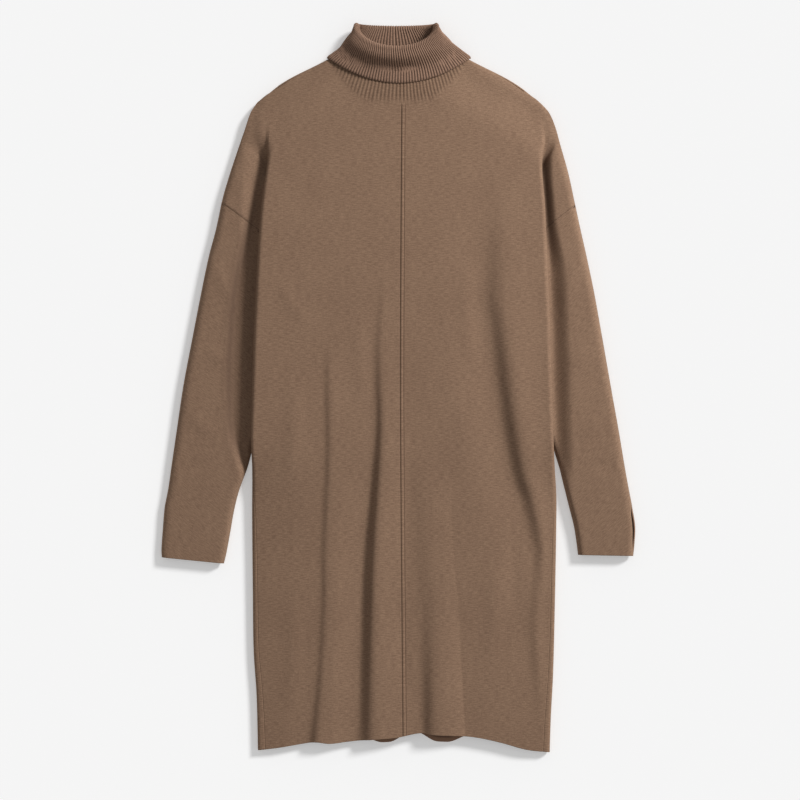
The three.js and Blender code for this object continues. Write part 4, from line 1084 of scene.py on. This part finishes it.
def collar_sheet():
    """Outer and inner face of the tube on one grid, joined at both edges.

    Ribs are the size of a cosine outside and of a sine inside, so that they take turns. A painted shade
    darkens their hollows.
    """
    fine = np.linspace(0, 2 * math.pi, 4001)
    mean = collar_face(fine, MEAN_RING)
    run = np.concatenate([[0], np.cumsum(np.linalg.norm(np.diff(mean, axis=0), axis=1))])
    number = np.arange(COLLAR_RIBS * RIB_COLUMNS + 1) / RIB_COLUMNS
    angle = np.interp(number / COLLAR_RIBS * run[-1], run, fine)
    edge_ring = LAST_RING - EDGE_FOLD
    down = np.concatenate([
        np.linspace(0, RIM_RING, 14)[:-1], np.linspace(RIM_RING, FALL_RING, 15)[:-1],
        np.linspace(FALL_RING, edge_ring, 24)[:-1], np.linspace(edge_ring, LAST_RING, 5),
    ])
    angle, down = np.meshgrid(angle, down)
    crowding = np.where(np.cos(angle) > 0, curve(RIB_CROWDING, down), curve(BACK_CROWDING, down))
    angle = angle + crowding * np.sin(2 * angle)
    face = collar_face(angle, down)
    round_neck = collar_face(angle + ANGLE_STEP, down) - collar_face(angle - ANGLE_STEP, down)
    low = np.clip(down - ANGLE_STEP, 0, LAST_RING)
    high = np.clip(down + ANGLE_STEP, 0, LAST_RING)
    downward = collar_face(angle, high) - collar_face(angle, low)
    outward = -np.cross(round_neck, downward)
    outward /= np.linalg.norm(outward, axis=-1, keepdims=True)
    wave = np.abs(np.cos(math.pi * number))
    other = np.abs(np.sin(math.pi * number))
    fold_in = np.clip(1 - (LAST_RING - down) / EDGE_FOLD, 0, 1) ** 2
    seam = BACK_SEAM_DEPTH * np.exp(-(((angle - math.pi - BACK_SEAM_OFF) / BACK_SEAM_HALF) ** 2))
    outer = RIB_HEIGHT * wave * (1 - EDGE_RIB_LOSS * fold_in) - EDGE_TURNED_IN * fold_in - seam
    inner = -CLOTH * mix(1, EDGE_WALL, fold_in) - RIB_HEIGHT * other + seam
    both = np.concatenate([face + outward * outer[..., None], (face + outward * inner[..., None])[::-1]])
    both = np.concatenate([both, both[:1]])
    both[..., 2] = np.maximum(both[..., 2], 0)
    outer_shade = COLLAR_SHADE * (1 - wave) + 0 * down
    inner_shade = INSIDE_SHADE * (1 - other) + 0 * down
    return both, np.concatenate([outer_shade, inner_shade, outer_shade[:1]])


RIB = (2.2, 0.95, 0.12)
# The rib's third colour is painted shade for its hollows.
rib_knit = knit("brown_rib", linear(133, 104, 87), linear(156, 125, 105), linear(44, 33, 27), *RIB)
ring_grid, shade = collar_sheet()
collar = cloth_piece("polo_collar", [(ring_grid, shade, False)], [rib_knit], wall=0)
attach(collar, "root")
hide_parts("collar")


# The setting: a pale paper floor, a broad low lamp from the upper right that draws the long soft
# shadows, a weak near lamp on the dress alone, so that it is a little brighter toward that corner, an
# even sky to fill the shadows, and a camera with a long lens straight above.

FLOOR_SIZE = 40.0
FLOOR_DROP = 0.0005
CAMERA_HEIGHT = 3.6
FRAME_WIDTH = 1.16
FRAME_MIDDLE = (4.35 - PLAN_MIDDLE[0], -17.4 - PLAN_MIDDLE[1])
LAMP_PLAN = (0.77, 0.64)
LAMP_ELEVATION = math.radians(29)

floor_mesh = bpy.data.meshes.new("paper_floor")
far = FLOOR_SIZE / 2
floor_corners = [(x, y, -FLOOR_DROP) for x, y in ((-far, -far), (far, -far), (far, far), (-far, far))]
floor_mesh.from_pydata(floor_corners, [], [(0, 1, 2, 3)])
paper_floor = bpy.data.objects.new("paper_floor", floor_mesh)
bpy.context.collection.objects.link(paper_floor)
paper = bpy.data.materials.new("pale_paper")
paper.use_nodes = True
paper_finish = paper.node_tree.nodes["Principled BSDF"].inputs
paper_finish["Base Color"].default_value = (0.88, 0.88, 0.88, 1)
paper_finish["Emission Color"].default_value = (1, 1, 1, 1)
paper_finish["Emission Strength"].default_value = 0.285
paper_finish["Roughness"].default_value = 0.9
paper_finish["Specular IOR Level"].default_value = 0.1
floor_mesh.materials.append(paper)

lamp = bpy.data.lights.new("broad_lamp", "SUN")
lamp.energy = 2.5
lamp.angle = math.radians(12)
lamp_object = bpy.data.objects.new("broad_lamp", lamp)
lamp_object.rotation_euler = (0, math.pi / 2 - LAMP_ELEVATION, math.atan2(LAMP_PLAN[1], LAMP_PLAN[0]))
bpy.context.collection.objects.link(lamp_object)

NEAR_DISTANCE = 1.5
PIECES = ["front_panel_right", "front_panel_left", "back_panel", "arm_right", "arm_left", "polo_collar"]
dress = bpy.data.collections.new("dress")
for name in PIECES:
    dress.objects.link(bpy.data.objects[name])
near = bpy.data.lights.new("near_lamp", "AREA")
near.shape = "DISK"
near.size = 0.3
near.energy = 10.0
near_object = bpy.data.objects.new("near_lamp", near)
near_object.rotation_euler = lamp_object.rotation_euler
near_object.location = (
    NEAR_DISTANCE * math.cos(LAMP_ELEVATION) * LAMP_PLAN[0],
    NEAR_DISTANCE * math.cos(LAMP_ELEVATION) * LAMP_PLAN[1],
    NEAR_DISTANCE * math.sin(LAMP_ELEVATION),
)
near_object.light_linking.receiver_collection = dress
bpy.context.collection.objects.link(near_object)

sky = bpy.data.worlds.new("even_sky")
sky.use_nodes = True
sky.node_tree.nodes["Background"].inputs["Color"].default_value = (1, 1, 1, 1)
sky.node_tree.nodes["Background"].inputs["Strength"].default_value = 0.33
bpy.context.scene.world = sky

lens = bpy.data.cameras.new("long_lens")
lens.sensor_width = 36
lens.lens = lens.sensor_width * CAMERA_HEIGHT / FRAME_WIDTH
camera = bpy.data.objects.new("long_lens", lens)
camera.location = (FRAME_MIDDLE[0] * MM, FRAME_MIDDLE[1] * MM, CAMERA_HEIGHT)
bpy.context.collection.objects.link(camera)
bpy.context.scene.camera = camera
bpy.context.scene.view_settings.view_transform = "Standard"
